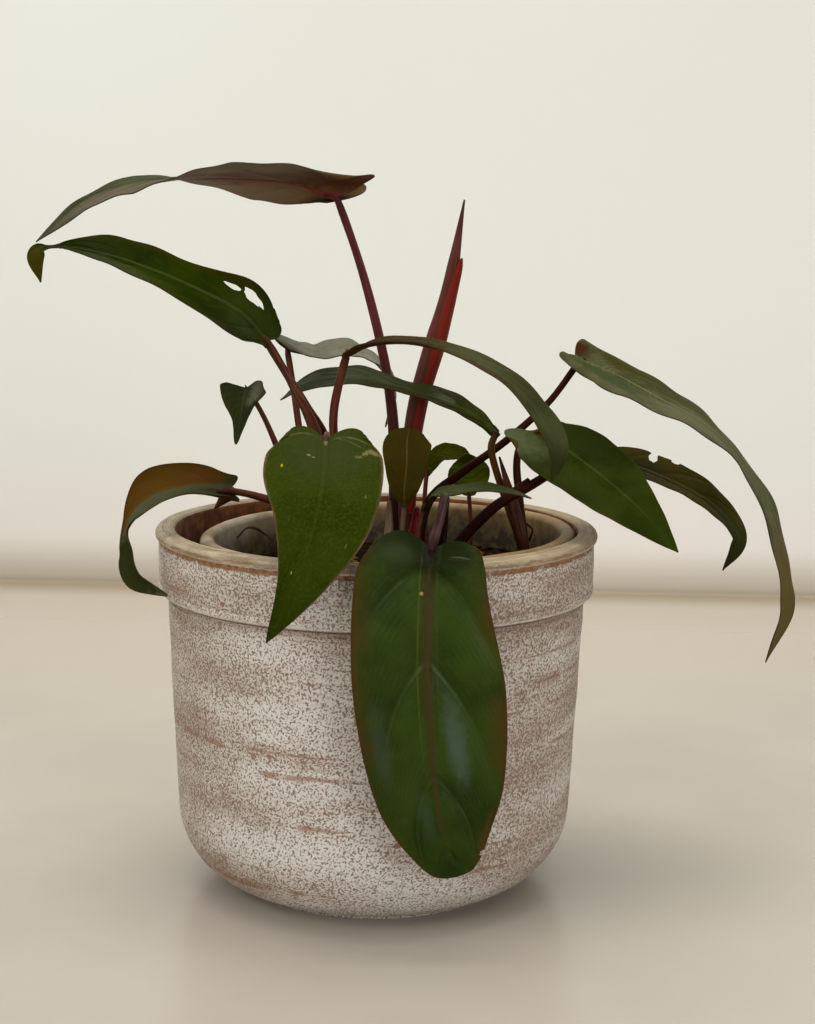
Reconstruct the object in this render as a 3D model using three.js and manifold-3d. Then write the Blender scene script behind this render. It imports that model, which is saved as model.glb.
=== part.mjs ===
// Potted red emerald philodendron: a cachepot, an inner pot, soil and the plant's own pieces.
// Millimetres, +Z up. The origin is the centre of the outer pot's underside, and the front is -Y.

import * as THREE from 'three';
import { mergeVertices } from 'three/addons/utils/BufferGeometryUtils.js';
import Module from 'manifold-3d';

const wasm = await Module();
wasm.setup();

// Driving dimensions
const GAP = 0.3; // space left between pieces that touch
const POT_SEGMENTS = 40;

const OUTER = {
  lipRadius: 105,
  height: 174,
  lipInnerRadius: 95.5,
  collarRadius: 103.5,
  collarBottom: 144,
  shoulderRadius: 99.5,
  lowRadius: 94.6,
  cornerRadius: 40,
  footRadius: 62,
  footHeight: 1.5,
  wall: 6.5,
  floor: 8,
};

const INNER = {
  rimRadius: 89,
  rimInnerRadius: 82,
  rimHeight: 14,
  height: 162,
  baseRadius: 58,
  shoulderRadius: 84,
  wall: 3.5,
  floor: 4,
  centre: [5, -1.5], // of the rim, as the pot leans
  tilt: THREE.MathUtils.degToRad(1.5),
};

const SOIL = { top: 142, mound: 3, grain: 1.2, bottom: 60 };
const STALK_FOOT = 136; // height of the lower end of every stalk
const BLADE = { thickness: 0.9, ribThickness: 1.5, ribShare: 0.18 };
const GRID = { large: [8, 9], small: [6, 6] }; // steps across and along a blade
const THIN = 1.5; // foot radius under which a rod is a thin one
const ROD = { thick: { sides: 8, steps: 8 }, thin: { sides: 6, steps: 6 } };

const COLOURS = {
  glaze: '#b5a99c',
  cream: '#b0a48c',
  soil: '#1d1510',
  blade: '#2b3a1c',
  stalk: '#4c2324',
  spike: '#74302c',
  sheath: '#5b3328',
  root: '#3a2a1c',
};

// Leaves. spine: the midrib from the stalk to the tip. left and right: half widths at
// the spine's points. face: directions of the upper side, spread evenly along the leaf.
// Pairs give the left and the right half. lobe and rise: how far it reaches back past the
// stalk, and how far it is lifted there. fold and curl: degrees by which it rises at the
// midrib and goes on bending to its edge. holes: torn places, as [t, v, length, width,
// turn in degrees]. stalk: the petiole's path above the soil, with its end radii.
const LEAVES = {
  high_left: {
    spine: [
      [-21, 20, 328], [-40, 20, 334], [-66, 22, 336], [-92, 24, 336.5],
      [-118, 24, 334.5], [-143, 20, 325], [-163, 14, 305.5],
    ],
    left: [4, 28, 35, 27, 14, 6, 0.6],
    right: [22, 32, 34, 28, 24, 20, 0.6],
    face: [[0, 0.28, 0.96], [0, 0.22, 0.97], [0, -0.22, 0.97], [-0.3, -0.3, 0.9]],
    lobe: [13, 15],
    rise: [11, 14],
    fold: [-4, -4],
    curl: [0, 8],
    stalk: [[8, 30, 160], [8, 33, 200], [6, 34, 228], [1, 33, 256], [-9, 28, 294], [-21, 20, 328]],
    stalkRadius: [3.4, 1.8],
  },
  long_left: {
    spine: [
      [-52, -12, 262], [-63, -18, 275], [-82, -26, 286], [-105, -34, 296],
      [-124, -39, 302], [-143, -43, 305], [-151, -45, 302], [-149.5, -47, 289],
    ],
    left: [24, 26, 17.5, 19.5, 15, 2, 6, 0.6],
    right: [5, 22.5, 21.5, 15.5, 7, 1, 5, 0.6],
    face: [[0.5, -0.5, 0.7], [0.25, -0.42, 0.88], [0, -0.4, 0.9], [-0.7, -0.6, 0.4]],
    lobe: [6, 2],
    rise: [0, 0],
    fold: [6, 4],
    curl: [0, 0],
    holes: [[0.122, 0.62, 4.6, 3.6, 30], [0.186, 0.63, 3.6, 2.2, 20]],
    stalk: [[-20, 4, 160], [-19, 3, 186], [-24, -1, 214], [-33, -5, 230], [-42, -8, 245], [-52, -12, 262]],
    stalkRadius: [2.3, 1.9],
  },
  small_left: {
    small: true,
    spine: [[-60.5, -17, 240.3], [-62, -20, 234], [-63, -24, 226], [-65, -26, 215]],
    left: [13.5, 10, 4, 0.6],
    right: [13.5, 9, 4, 0.6],
    face: [[-0.1, -0.9, 0.3], [-0.2, -0.9, 0.2]],
    lobe: [0, 3],
    rise: [0, 2],
    fold: [16, 28],
    curl: [0, 0],
    stalk: [[-34, -4, 160], [-38, -7, 186], [-46, -9, 209], [-53, -11, 226], [-60.5, -17, 240.3]],
    stalkRadius: [2.6, 1.4],
  },
  low_left: {
    spine: [
      [-68, -30, 194], [-85, -36, 196], [-101, -42, 192], [-112.7, -46, 179.7],
      [-111.5, -49, 168], [-108.5, -50, 156], [-94, -48, 148],
    ],
    left: [10, 11.5, 13, 1.5, 4.6, 4.6, 0.6],
    right: [4, 3, 5, 1, 3, 4.2, 0.6],
    face: [[0, -0.6, 0.8], [-0.2, -0.6, 0.75], [-0.8, -0.5, 0.3], [-0.6, -0.8, -0.2]],
    lobe: [4, 6],
    rise: [2, -3],
    fold: [20, 0],
    curl: [60, 0],
    stalk: [[-31, -16, 160], [-33, -17, 172], [-42, -20, 185], [-56, -25, 191], [-68, -30, 194]],
    stalkRadius: [2.8, 1.6],
  },
  front_left: {
    spine: [[-22, -56, 222], [-22, -84, 208], [-25, -105, 190], [-32, -115, 168], [-44, -118, 143]],
    left: [24, 26, 17, 8, 0.6],
    right: [24, 26, 23, 12, 0.6],
    face: [[0, -0.55, 0.83], [0, -0.8, 0.6], [-0.05, -1, 0.15]],
    lobe: [9, 8],
    rise: [0, 0],
    fold: [4, 4],
    curl: [0, -8],
    stalk: [[-25, -22, 160], [-25, -24, 186], [-23, -33, 212], [-22, -44, 222], [-22, -56, 222]],
    stalkRadius: [2.6, 2],
  },
  front_middle: {
    spine: [
      [25, -107, 182], [24, -113, 163], [24, -119, 122],
      [28, -120, 79], [33, -119, 52], [35, -118, 41],
    ],
    left: [28, 32, 31.5, 26, 14.5, 6],
    right: [23, 25, 33, 29, 16.5, 8],
    face: [[0, -0.95, 0.3], [0, -1, 0.05], [0, -1, -0.05]],
    lobe: [7, 4],
    rise: [0, 0],
    fold: [4, 4],
    curl: [-6, -6],
    holes: [[0.82, -1, 2.2, 1.6, 0]],
    stalk: [[30, -32, 160], [31, -46, 186], [31, -64, 197], [29, -86, 193], [25, -107, 182]],
    stalkRadius: [2.4, 2],
  },
  arching: {
    spine: [
      [-14, -20, 257], [-3, -23, 262], [15, -27, 263.2], [36, -32, 258.5],
      [58.3, -39.8, 247.7], [73.2, -47.7, 232.3], [81, -54.5, 218], [79, -56, 203],
    ],
    left: [6, 11, 14, 15, 15, 12.5, 8, 0.6],
    right: [6, 11, 14.4, 14, 15.3, 12.8, 8, 0.6],
    face: [[0.01, 0.03, 0.99], [0.11, 0.02, 0.99], [0.42, -0.09, 0.88], [0.82, -0.58, 0.1]],
    lobe: [2, 2],
    rise: [0, 0],
    fold: [-1, 5],
    curl: [10, 10],
    stalk: [[-14, -8, 160], [-17, -9, 186], [-20, -11, 213], [-20, -13, 232], [-14, -20, 257]],
    stalkRadius: [2.6, 1.9],
  },
  back_left: {
    spine: [[-46, 48, 254], [-31, 52, 251], [-14, 58, 252], [0, 64, 244], [6, 70, 228], [3, 74, 212]],
    left: [9, 13, 14, 11, 6, 0.6],
    right: [9, 13, 14, 11, 6, 0.6],
    face: [[0, -0.2, 0.97], [0.3, -0.15, 0.95], [0.9, -0.4, 0.1]],
    lobe: [9, 7],
    rise: [5, 5],
    fold: [8, 8],
    curl: [0, 0],
    stalk: [[-31, 17, 160], [-35, 23, 190], [-39, 33, 215], [-43, 42, 238], [-46, 48, 254]],
    stalkRadius: [2.1, 1.5],
  },
  middle: {
    spine: [
      [56, 2, 218], [44, 4, 227], [28, 4, 234], [8, 4, 240],
      [-12, 5, 244], [-33, 8, 241], [-47, 12, 232],
    ],
    left: [3, 7.5, 12, 8, 13, 10, 0.6],
    right: [1.2, 3.2, 5.5, 4.5, 10.5, 9.5, 0.6],
    face: [[-0.3, -0.4, 0.85], [0, -0.32, 0.95], [0, -0.3, 0.95]],
    lobe: [2, 2],
    rise: [0, 0],
    fold: [3, 3],
    curl: [0, 0],
    stalk: [[70, 6, 160], [63, 5, 182], [57, 4, 199], [54, 3, 211], [56, 2, 218]],
    stalkRadius: [2.3, 1.6],
  },
  long_right: {
    spine: [
      [96, 12, 252], [114.3, 5.9, 245.4], [133.4, -1.2, 235.8], [153.2, -6.9, 225.2], [170.1, -11, 208.4],
      [184.3, -15.6, 184.9], [191.9, -17.4, 158.3], [193.8, -17.5, 136.9], [185.5, -16, 112.5],
    ],
    left: [15, 24.5, 26.5, 26, 22, 18, 14, 11.5, 0.6],
    right: [13, 21, 21, 20, 17, 14, 11.5, 10, 0.6],
    face: [
      [0.13, -0.15, 0.96], [0.35, -0.29, 0.9], [0.51, -0.16, 0.85], [0.75, -0.16, 0.63],
      [0.86, -0.27, 0.43], [0.89, -0.46, 0.09], [0.9, -0.49, -0.25],
    ],
    lobe: [11, 9],
    rise: [3, 9],
    fold: [1, 3],
    curl: [0, 0],
    stalk: [[20, 8, 160], [25, 10, 184], [40, 14, 197], [62, 17, 213], [82, 16, 232], [96, 12, 252]],
    stalkRadius: [2.6, 1.9],
  },
  right_middle: {
    spine: [[77, -2, 220], [90, -16, 212], [105, -32, 202], [120, -46, 190], [136, -58, 173]],
    left: [20, 22.5, 20.5, 14.5, 0.6],
    right: [12, 18, 17, 10, 0.6],
    face: [[0, -0.6, 0.8], [0, -0.62, 0.78]],
    lobe: [14, 6],
    rise: [-3, 0],
    fold: [5, 5],
    curl: [0, 0],
    stalk: [[72, 20, 160], [69, 18, 184], [67, 14, 202], [69, 7, 213], [77, -2, 220]],
    stalkRadius: [2.3, 1.7],
  },
  right_torn: {
    spine: [
      [107, 15, 205], [127, 20, 200], [148, 24, 191],
      [166, 26, 180], [177, 26, 165], [170, 23, 149],
    ],
    left: [10, 12, 11, 10, 8, 0.6],
    right: [10, 20, 21, 16, 11, 0.6],
    face: [[0.2, -0.2, 0.95], [0.5, -0.35, 0.8], [0.9, -0.4, 0.1]],
    lobe: [4, 4],
    rise: [0, 0],
    fold: [4, 4],
    curl: [0, 0],
    holes: [[0.29, -0.85, 1.8, 8, 15], [0.385, -1, 1.8, 2.6, 10]],
    stalk: [[34, -14, 160], [53, -18, 184], [71, -14, 195], [86, 0, 201], [107, 15, 205]],
    stalkRadius: [3.2, 1.8],
  },
  small_centre: {
    small: true,
    spine: [[13, -24, 187], [13, -23, 195], [14, -21, 206], [14, -18, 216], [15, -15, 222]],
    left: [2, 7, 10.5, 11, 5],
    right: [2, 7, 9.5, 11.5, 6],
    face: [[0, 1, 0.1], [0, 0.95, -0.3]],
    lobe: [0, 0],
    rise: [0, 0],
    fold: [6, 6],
    curl: [10, 10],
    stalk: [[12, -26, 160], [12, -26, 172], [13, -24, 187]],
    stalkRadius: [1.4, 1.1],
  },
  back_centre: {
    small: true,
    spine: [[24, 42, 194], [29, 44, 201.5], [36, 46, 203.5], [43, 48, 201], [49, 50, 195]],
    left: [3, 5, 5.5, 4, 0.6],
    right: [3, 5, 5.5, 4, 0.6],
    face: [[-0.3, -0.6, 0.7], [0.3, -0.6, 0.7]],
    lobe: [2, 2],
    rise: [0, 0],
    fold: [6, 6],
    curl: [0, 0],
    stalk: [[24, 34, 160], [23, 37, 178], [24, 42, 194]],
    stalkRadius: [1.4, 1.1],
  },
  back_right: {
    small: true,
    spine: [[45, 40, 183], [45, 39, 191], [44, 37, 198], [43, 35, 204]],
    left: [3, 10, 9, 1],
    right: [3, 10, 9, 1],
    face: [[0, -1, 0.1], [0, -0.95, 0.3]],
    lobe: [1, 1],
    rise: [0, 0],
    fold: [6, 6],
    curl: [0, 0],
    stalk: [[46, 36, 160], [46, 38, 171], [45, 40, 183]],
    stalkRadius: [1.2, 1],
  },
  narrow_front: {
    small: true,
    spine: [[22, -34, 188], [27, -38, 195], [36, -42, 197], [50, -44, 199], [62, -43, 197], [71, -41, 194]],
    left: [3, 5, 6, 5, 4, 0.6],
    right: [3, 5, 6, 5, 4, 0.6],
    face: [[0, -0.35, 0.9], [0, -0.15, 0.98]],
    lobe: [1, 1],
    rise: [0, 0],
    fold: [6, 6],
    curl: [0, 0],
    stalk: [[18, -37, 160], [19, -36, 174], [22, -34, 188]],
    stalkRadius: [1.4, 1.1],
  },
};

// Rods that stand in the soil beside the stalks, thick at the foot and pointed at the end.
const RODS = {
  new_leaf: {
    path: [[14, 22, 160], [14, 23, 190], [17, 23, 222], [24, 22, 252], [33, 20, 285], [39.8, 18, 327.5]],
    radii: [3.6, 3.8, 4.2, 4.2, 3, 0.5],
    colour: COLOURS.spike,
  },
  sheath_left: {
    path: [[-27, -2, 160], [-26, -6, 190], [-28, -9, 214], [-33, -12, 229], [-41, -15, 243], [-45, -16, 252]],
    radii: [2.2, 2.4, 2.8, 3, 2, 0.4],
    colour: COLOURS.sheath,
  },
  sheath_right: {
    path: [[71, -2, 160], [66, -2, 182], [62, -2, 196], [59, -2, 206]],
    radii: [2.4, 2.2, 1.6, 0.4],
    colour: COLOURS.sheath,
  },
  sheath_red: {
    path: [[17, -5, 160], [18, -7, 172], [19, -9, 184]],
    radii: [3.6, 3.4, 1.2],
    colour: '#6b1a1c',
  },
  sheath_pale: {
    path: [[5, -16, 160], [6, -17, 174], [6, -18, 188]],
    radii: [2.6, 2.4, 1],
    colour: '#6b5a48',
  },
  root_left: {
    path: [[-50, 22, 158], [-56, 24, 165], [-63, 22, 168], [-68, 16, 164]],
    radii: [0.8, 0.7, 0.6, 0.5],
    colour: COLOURS.root,
  },
  root_right: {
    path: [[73, 26, 158], [75, 25, 164], [76, 25, 168], [73, 26, 171]],
    radii: [0.9, 0.8, 0.7, 0.5],
    colour: COLOURS.root,
  },
};

// The free edge of the rolled leaf, wrapped around the front of it
const FLAP = {
  small: true,
  spine: [[17, 18.5, 176], [18, 19, 205], [22, 18.8, 232], [30, 17.3, 262], [39, 15.8, 300]],
  left: [3.2, 4.2, 5.2, 6.4, 3.6],
  right: [3, 3.6, 3.8, 3.4, 1.5],
  face: [[0.5, -1, 0], [0.6, -1, 0.1]],
  lobe: [0, 0],
  rise: [0, 0],
  fold: [-8, -8],
  curl: [-50, -50],
};

const point = ([x, y, z]) => new THREE.Vector3(x, y, z);

// Value at place t (0 to 1) of a smooth curve through evenly spread numbers
function smooth(values, t) {
  const curve = new THREE.CatmullRomCurve3(
    values.map((value) => new THREE.Vector3(value, 0, 0)), false, 'catmullrom', 0.5,
  );
  return curve.getPoint(t).x;
}

// Value at place t (0 to 1) of straight stretches between evenly spread numbers
function straight(values, t) {
  const place = Math.min(t, 1) * (values.length - 1);
  const index = Math.min(Math.floor(place), values.length - 2);
  return THREE.MathUtils.lerp(values[index], values[index + 1], place - index);
}

// One closed surface: shared vertices merged and collapsed triangles dropped
function clean(geometry) {
  geometry.deleteAttribute('normal');
  geometry.deleteAttribute('uv');
  const merged = mergeVertices(geometry, 1e-4);
  const kept = [];
  const index = merged.index.array;
  for (let i = 0; i < index.length; i += 3) {
    const [a, b, c] = [index[i], index[i + 1], index[i + 2]];
    if (a !== b && b !== c && c !== a) kept.push(a, b, c);
  }
  merged.setIndex(kept);
  return merged;
}

function toSolid(geometry) {
  return new wasm.Manifold(new wasm.Mesh({
    numProp: 3,
    vertProperties: Float32Array.from(geometry.attributes.position.array),
    triVerts: Uint32Array.from(geometry.index.array),
  }));
}

// The largest body of a solid, as a geometry
function fromSolid(solid) {
  const bodies = solid.decompose();
  bodies.sort((a, b) => b.volume() - a.volume());
  const mesh = bodies[0].getMesh();
  const geometry = new THREE.BufferGeometry();
  geometry.setAttribute('position', new THREE.BufferAttribute(mesh.vertProperties, 3));
  geometry.setIndex(Array.from(mesh.triVerts));
  return geometry;
}

function cut(geometry, tools) {
  let solid = toSolid(geometry);
  for (const tool of tools) solid = solid.subtract(toSolid(tool));
  return fromSolid(solid);
}

// A body turned about the Z axis from [radius, height] points that start and end on it
function turned(profile) {
  const points = profile.map(([radius, height]) => new THREE.Vector2(radius, height));
  const geometry = new THREE.LatheGeometry(points, POT_SEGMENTS);
  geometry.rotateX(Math.PI / 2);
  return clean(geometry);
}

// Points of an arc about [radius, height], angles in degrees
function arc([radius, height], size, from, to, steps) {
  return Array.from({ length: steps + 1 }, (_, i) => {
    const angle = THREE.MathUtils.degToRad(from + ((to - from) * i) / steps);
    return [radius + size * Math.cos(angle), height + size * Math.sin(angle)];
  });
}

// A round rod along a path, its radius taken from a list spread evenly along it
function rod(path, radii, grow = 0) {
  const { sides, steps } = radii[0] < THIN ? ROD.thin : ROD.thick;
  const curve = new THREE.CatmullRomCurve3(path.map(point), false, 'catmullrom', 0.5);
  const frames = curve.computeFrenetFrames(steps, false);
  const geometry = new THREE.CylinderGeometry(1, 1, 1, sides, steps);
  const position = geometry.attributes.position;
  for (let i = 0; i < position.count; i += 1) {
    const along = position.getY(i) + 0.5;
    const ring = Math.round(along * steps);
    const radius = straight(radii, along) + grow;
    const place = curve.getPointAt(along);
    place.addScaledVector(frames.normals[ring], position.getX(i) * radius);
    place.addScaledVector(frames.binormals[ring], -position.getZ(i) * radius);
    position.setXYZ(i, place.x, place.y, place.z);
  }
  return clean(geometry);
}

// A path carried straight down from its first point to the foot of the stalks
function rooted(path) {
  const [x, y] = path[0];
  return [[x, y, STALK_FOOT], ...path];
}

// The frame of a leaf at place t: the midrib's point and its tip, side and up directions
function leafFrame(leaf, t) {
  const curve = new THREE.CatmullRomCurve3(leaf.spine.map(point), false, 'catmullrom', 0.5);
  const centre = curve.getPoint(t);
  const ahead = curve.getPoint(Math.min(t + 0.01, 1));
  const behind = curve.getPoint(Math.max(t - 0.01, 0));
  const tip = ahead.sub(behind).normalize();
  const face = new THREE.Vector3(...[0, 1, 2].map((axis) => straight(leaf.face.map((f) => f[axis]), t)));
  const side = new THREE.Vector3().crossVectors(tip, face).normalize();
  const up = new THREE.Vector3().crossVectors(side, tip);
  return { centre, tip, side, up };
}

// A point of the blade's upper side: t runs to the tip, v from -1 (right) to 1 (left)
function leafPoint(leaf, t, v) {
  const half = v >= 0 ? 0 : 1;
  const { centre, tip, side, up } = leafFrame(leaf, t);
  const width = Math.max(smooth(half === 0 ? leaf.left : leaf.right, t), 0.5);
  const fold = THREE.MathUtils.degToRad(leaf.fold[half]);
  const curl = THREE.MathUtils.degToRad(leaf.curl[half]) || 1e-6;
  const bend = fold + curl * Math.abs(v);
  const out = (width * (Math.sin(bend) - Math.sin(fold))) / curl;
  const rise = (width * (Math.cos(fold) - Math.cos(bend))) / curl;
  const reach = Math.sin(Math.PI * Math.abs(v)) * Math.max(1 - t * 4, 0) ** 2;
  return centre
    .addScaledVector(side, Math.sign(v) * out)
    .addScaledVector(up, rise + leaf.rise[half] * reach)
    .addScaledVector(tip, -leaf.lobe[half] * reach);
}

// A closed sheet under an open grid, each face of it split into triangles alike
function thicken(grid, thickness) {
  grid.computeVertexNormals();
  const top = grid.attributes.position;
  const normal = grid.attributes.normal;
  const count = top.count;
  const vertices = new Float32Array(count * 6);
  for (let i = 0; i < count; i += 1) {
    const upper = new THREE.Vector3().fromBufferAttribute(top, i);
    upper.toArray(vertices, i * 3);
    const lower = upper.addScaledVector(new THREE.Vector3().fromBufferAttribute(normal, i), -thickness[i]);
    lower.toArray(vertices, (count + i) * 3);
  }
  const faces = Array.from(grid.index.array);
  const edges = new Set();
  const index = [...faces];
  for (let i = 0; i < faces.length; i += 3) {
    const corners = [faces[i], faces[i + 1], faces[i + 2]];
    index.push(...corners.map((corner) => corner + count).reverse());
    corners.forEach((corner, j) => edges.add(`${corner},${corners[(j + 1) % 3]}`));
  }
  for (const edge of edges) {
    const [a, b] = edge.split(',').map(Number);
    if (!edges.has(`${b},${a}`)) index.push(b, a, a + count, b, a + count, b + count);
  }
  const geometry = new THREE.BufferGeometry();
  geometry.setAttribute('position', new THREE.BufferAttribute(vertices, 3));
  geometry.setIndex(index);
  return geometry;
}

// The blade of a leaf, with its midrib standing out below
function blade(leaf) {
  const [columns, rows] = leaf.small ? GRID.small : GRID.large;
  const grid = new THREE.PlaneGeometry(2, 1, columns, rows);
  const position = grid.attributes.position;
  const thickness = [];
  for (let i = 0; i < position.count; i += 1) {
    const across = position.getX(i);
    const v = -Math.sign(across) * Math.abs(across) ** 1.4;
    const t = 0.5 - position.getY(i);
    const place = leafPoint(leaf, t, v);
    position.setXYZ(i, place.x, place.y, place.z);
    const rib = Math.max(1 - Math.abs(v) / BLADE.ribShare, 0) * (1 - t);
    thickness.push(BLADE.thickness + BLADE.ribThickness * rib);
  }
  return thicken(grid, thickness);
}

// The tool that cuts one torn place: [t, v, length, width, turn in degrees]
function holeTool(leaf, [t, v, length, width, turn]) {
  const { tip, side, up } = leafFrame(leaf, t);
  const tool = new THREE.CylinderGeometry(1, 1, 14, 9);
  tool.rotateX(Math.PI / 2);
  tool.scale(length, width, 1);
  tool.rotateZ(THREE.MathUtils.degToRad(turn));
  const place = leafPoint(leaf, t, v);
  const basis = new THREE.Matrix4().makeBasis(tip, side, up.negate());
  tool.applyMatrix4(basis.setPosition(place));
  return clean(tool);
}

function outerPot() {
  const p = OUTER;
  const cornerCentre = [p.lowRadius - p.cornerRadius, p.footHeight + p.cornerRadius];
  const insideLow = p.lowRadius - p.wall;
  const insideCorner = p.cornerRadius - p.wall;
  return turned([
    [0, 0],
    [p.footRadius - 1, 0],
    [p.footRadius, 1],
    [p.footRadius, p.footHeight + 0.4],
    ...arc(cornerCentre, p.cornerRadius, -78, 0, 7),
    [p.shoulderRadius, p.collarBottom - 1],
    ...arc([p.collarRadius - 2, p.collarBottom + 2], 2, -80, 0, 3),
    [p.collarRadius, p.height - 7.5],
    [p.collarRadius - 0.6, p.height - 6.5],
    [p.collarRadius - 0.6, p.height - 5],
    ...arc([p.lipRadius - 2.5, p.height - 2.5], 2.5, -40, 90, 4),
    ...arc([p.lipInnerRadius + 2, p.height - 2], 2, 90, 180, 2),
    [p.lipInnerRadius - 0.5, p.height - 30],
    [insideLow, p.floor + insideCorner],
    ...arc([insideLow - insideCorner, p.floor + insideCorner], insideCorner, 0, -90, 4).slice(1),
    [0, p.floor],
  ]);
}

function innerPot() {
  const p = INNER;
  const rimCentre = (p.rimRadius + p.rimInnerRadius) / 2;
  const rimRound = (p.rimRadius - p.rimInnerRadius) / 2;
  return turned([
    [0, 0],
    [p.baseRadius - 3, 0],
    [p.baseRadius, 3],
    [p.shoulderRadius - 1, p.height - p.rimHeight - 2],
    [p.rimRadius, p.height - p.rimHeight],
    ...arc([rimCentre, p.height - rimRound], rimRound, 0, 180, 6),
    [p.shoulderRadius - p.wall - 1, p.height - p.rimHeight - 6],
    [p.baseRadius - p.wall, p.floor + 3],
    [p.baseRadius - p.wall - 3, p.floor],
    [0, p.floor],
  ]);
}

// Radius of the inner pot's wall on its inside, at a height in its own frame
function insideRadius(height) {
  const p = INNER;
  const share = (height - p.floor - 3) / (p.height - p.rimHeight - 6 - p.floor - 3);
  return THREE.MathUtils.lerp(p.baseRadius - p.wall, p.shoulderRadius - p.wall - 1, share);
}

function soil(holes) {
  const p = SOIL;
  const edge = insideRadius(p.top) - GAP;
  const rings = [1, 0.8, 0.55, 0.25];
  const body = turned([
    [0, INNER.floor + GAP],
    [INNER.baseRadius - INNER.wall - 3 - GAP, INNER.floor + GAP],
    [insideRadius(p.bottom) - GAP, p.bottom],
    ...rings.map((share) => [edge * share, p.top + p.mound * (1 - share ** 2)]),
    [0, p.top + p.mound],
  ]);
  const position = body.attributes.position;
  for (let i = 0; i < position.count; i += 1) {
    const x = position.getX(i);
    const y = position.getY(i);
    const inside = Math.hypot(x, y) < edge * 0.95 && position.getZ(i) > p.bottom + 1;
    const wave = Math.sin(x * 0.31 + y * 0.17) + Math.sin(y * 0.37 - x * 0.11 + 1.3);
    if (inside) position.setZ(i, position.getZ(i) + (p.grain * wave) / 2);
  }
  standInPot(body);
  return cut(body, holes);
}

// Moves a body from the inner pot's own frame to where that pot stands
function standInPot(geometry) {
  const drop = Math.sin(INNER.tilt) * (INNER.baseRadius - 3);
  geometry.rotateY(-INNER.tilt);
  const lean = Math.sin(INNER.tilt) * INNER.height;
  geometry.translate(INNER.centre[0] + lean, INNER.centre[1], OUTER.floor + GAP + drop);
}

const plant = new THREE.Group();

function add(name, geometry, colour, roughness = 0.5) {
  const material = new THREE.MeshStandardMaterial({ color: colour, roughness, metalness: 0 });
  const mesh = new THREE.Mesh(geometry, material);
  mesh.name = name;
  plant.add(mesh);
}

add('outer_pot', outerPot(), COLOURS.glaze, 0.7);
const inner = innerPot();
standInPot(inner);
add('inner_pot', inner, COLOURS.cream, 0.6);

const holes = [];
for (const [name, leaf] of Object.entries(LEAVES)) {
  const path = rooted(leaf.stalk);
  const clear = rod(path, leaf.stalkRadius, GAP);
  holes.push(clear);
  const tools = (leaf.holes ?? []).map((hole) => holeTool(leaf, hole));
  add(`leaf_${name}`, cut(blade(leaf), [clear, ...tools]), COLOURS.blade, 0.4);
  add(`petiole_${name}`, rod(path, leaf.stalkRadius), COLOURS.stalk);
}
for (const [name, { path, radii, colour }] of Object.entries(RODS)) {
  const rootedPath = rooted(path);
  const rootedRadii = [radii[0], ...radii];
  holes.push(rod(rootedPath, rootedRadii, GAP));
  add(name, rod(rootedPath, rootedRadii), colour);
}
const { path: spikePath, radii: spikeRadii } = RODS.new_leaf;
const spike = rod(rooted(spikePath), [spikeRadii[0], ...spikeRadii], GAP);
add('new_leaf_flap', cut(blade(FLAP), [spike]), COLOURS.spike);
add('potting_soil', soil(holes), COLOURS.soil, 0.95);

export default plant;
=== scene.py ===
"""Potted red emerald philodendron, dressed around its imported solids.

A speckled cachepot holds a cream inner pot, soil and a plant with sixteen open leaves.
Sizes in the classes are millimetres; every mesh is written in metres.
"""

import logging
import math
import random
from collections.abc import Iterable, Sequence
from dataclasses import dataclass, field
from enum import Enum

import bpy
import numpy as np
from mathutils import Matrix, Vector, noise


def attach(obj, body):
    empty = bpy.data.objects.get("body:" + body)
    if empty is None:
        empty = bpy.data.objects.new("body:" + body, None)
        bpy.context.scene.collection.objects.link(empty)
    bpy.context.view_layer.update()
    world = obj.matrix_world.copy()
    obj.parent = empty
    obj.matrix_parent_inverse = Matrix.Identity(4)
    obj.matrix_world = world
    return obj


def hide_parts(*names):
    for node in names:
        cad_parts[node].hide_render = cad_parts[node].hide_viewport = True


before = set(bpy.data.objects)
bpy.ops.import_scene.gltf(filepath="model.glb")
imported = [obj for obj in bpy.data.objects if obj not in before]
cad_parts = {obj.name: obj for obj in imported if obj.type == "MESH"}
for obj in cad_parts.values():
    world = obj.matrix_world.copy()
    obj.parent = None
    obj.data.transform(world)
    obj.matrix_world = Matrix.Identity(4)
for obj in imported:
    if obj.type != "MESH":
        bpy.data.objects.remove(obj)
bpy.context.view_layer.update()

MM = 0.001
# A full turn in radians, as the patterns of veins and stalks use it
TURN = 6.2832
# Power that crowds a sheet's columns near the midrib, and power of the laterals' sweep
CROWD, SWEEP = 1.5, 1.3
# Share of a blade's length within which the corners of its base are rounded
CORNER = 0.14
# Height in millimetres at which every stalk stands in the soil
SOIL_FOOT = 136
LOG = logging.getLogger("plant")
Point = tuple[float, float, float]


def linear(text: str) -> tuple[float, float, float, float]:
    """Turn an sRGB hex colour to linear light.

    Args:
        text: Six hex digits.

    Returns:
        Red, green, blue and an alpha of one.
    """
    values = [int(text[start:start + 2], 16) / 255 for start in (0, 2, 4)]
    return (*(x / 12.92 if x <= 0.04045 else ((x + 0.055) / 1.055) ** 2.4 for x in values), 1.0)


def deselect() -> None:
    """Leave nothing selected, so that the next operator acts on its own mesh only."""
    if bpy.context.object and bpy.context.object.mode != "OBJECT":
        bpy.ops.object.mode_set(mode="OBJECT")
    bpy.ops.object.select_all(action="DESELECT")


def added(name: str) -> bpy.types.Object:
    """Name the object that the last primitive made, and return it."""
    piece = bpy.context.object
    piece.name = name
    piece.data.name = name
    return piece


def settle(piece: bpy.types.Object) -> None:
    """Write a piece's place into its mesh, so that its object sits at the origin."""
    piece.data.transform(piece.matrix_world)
    piece.matrix_world = Matrix.Identity(4)


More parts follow.
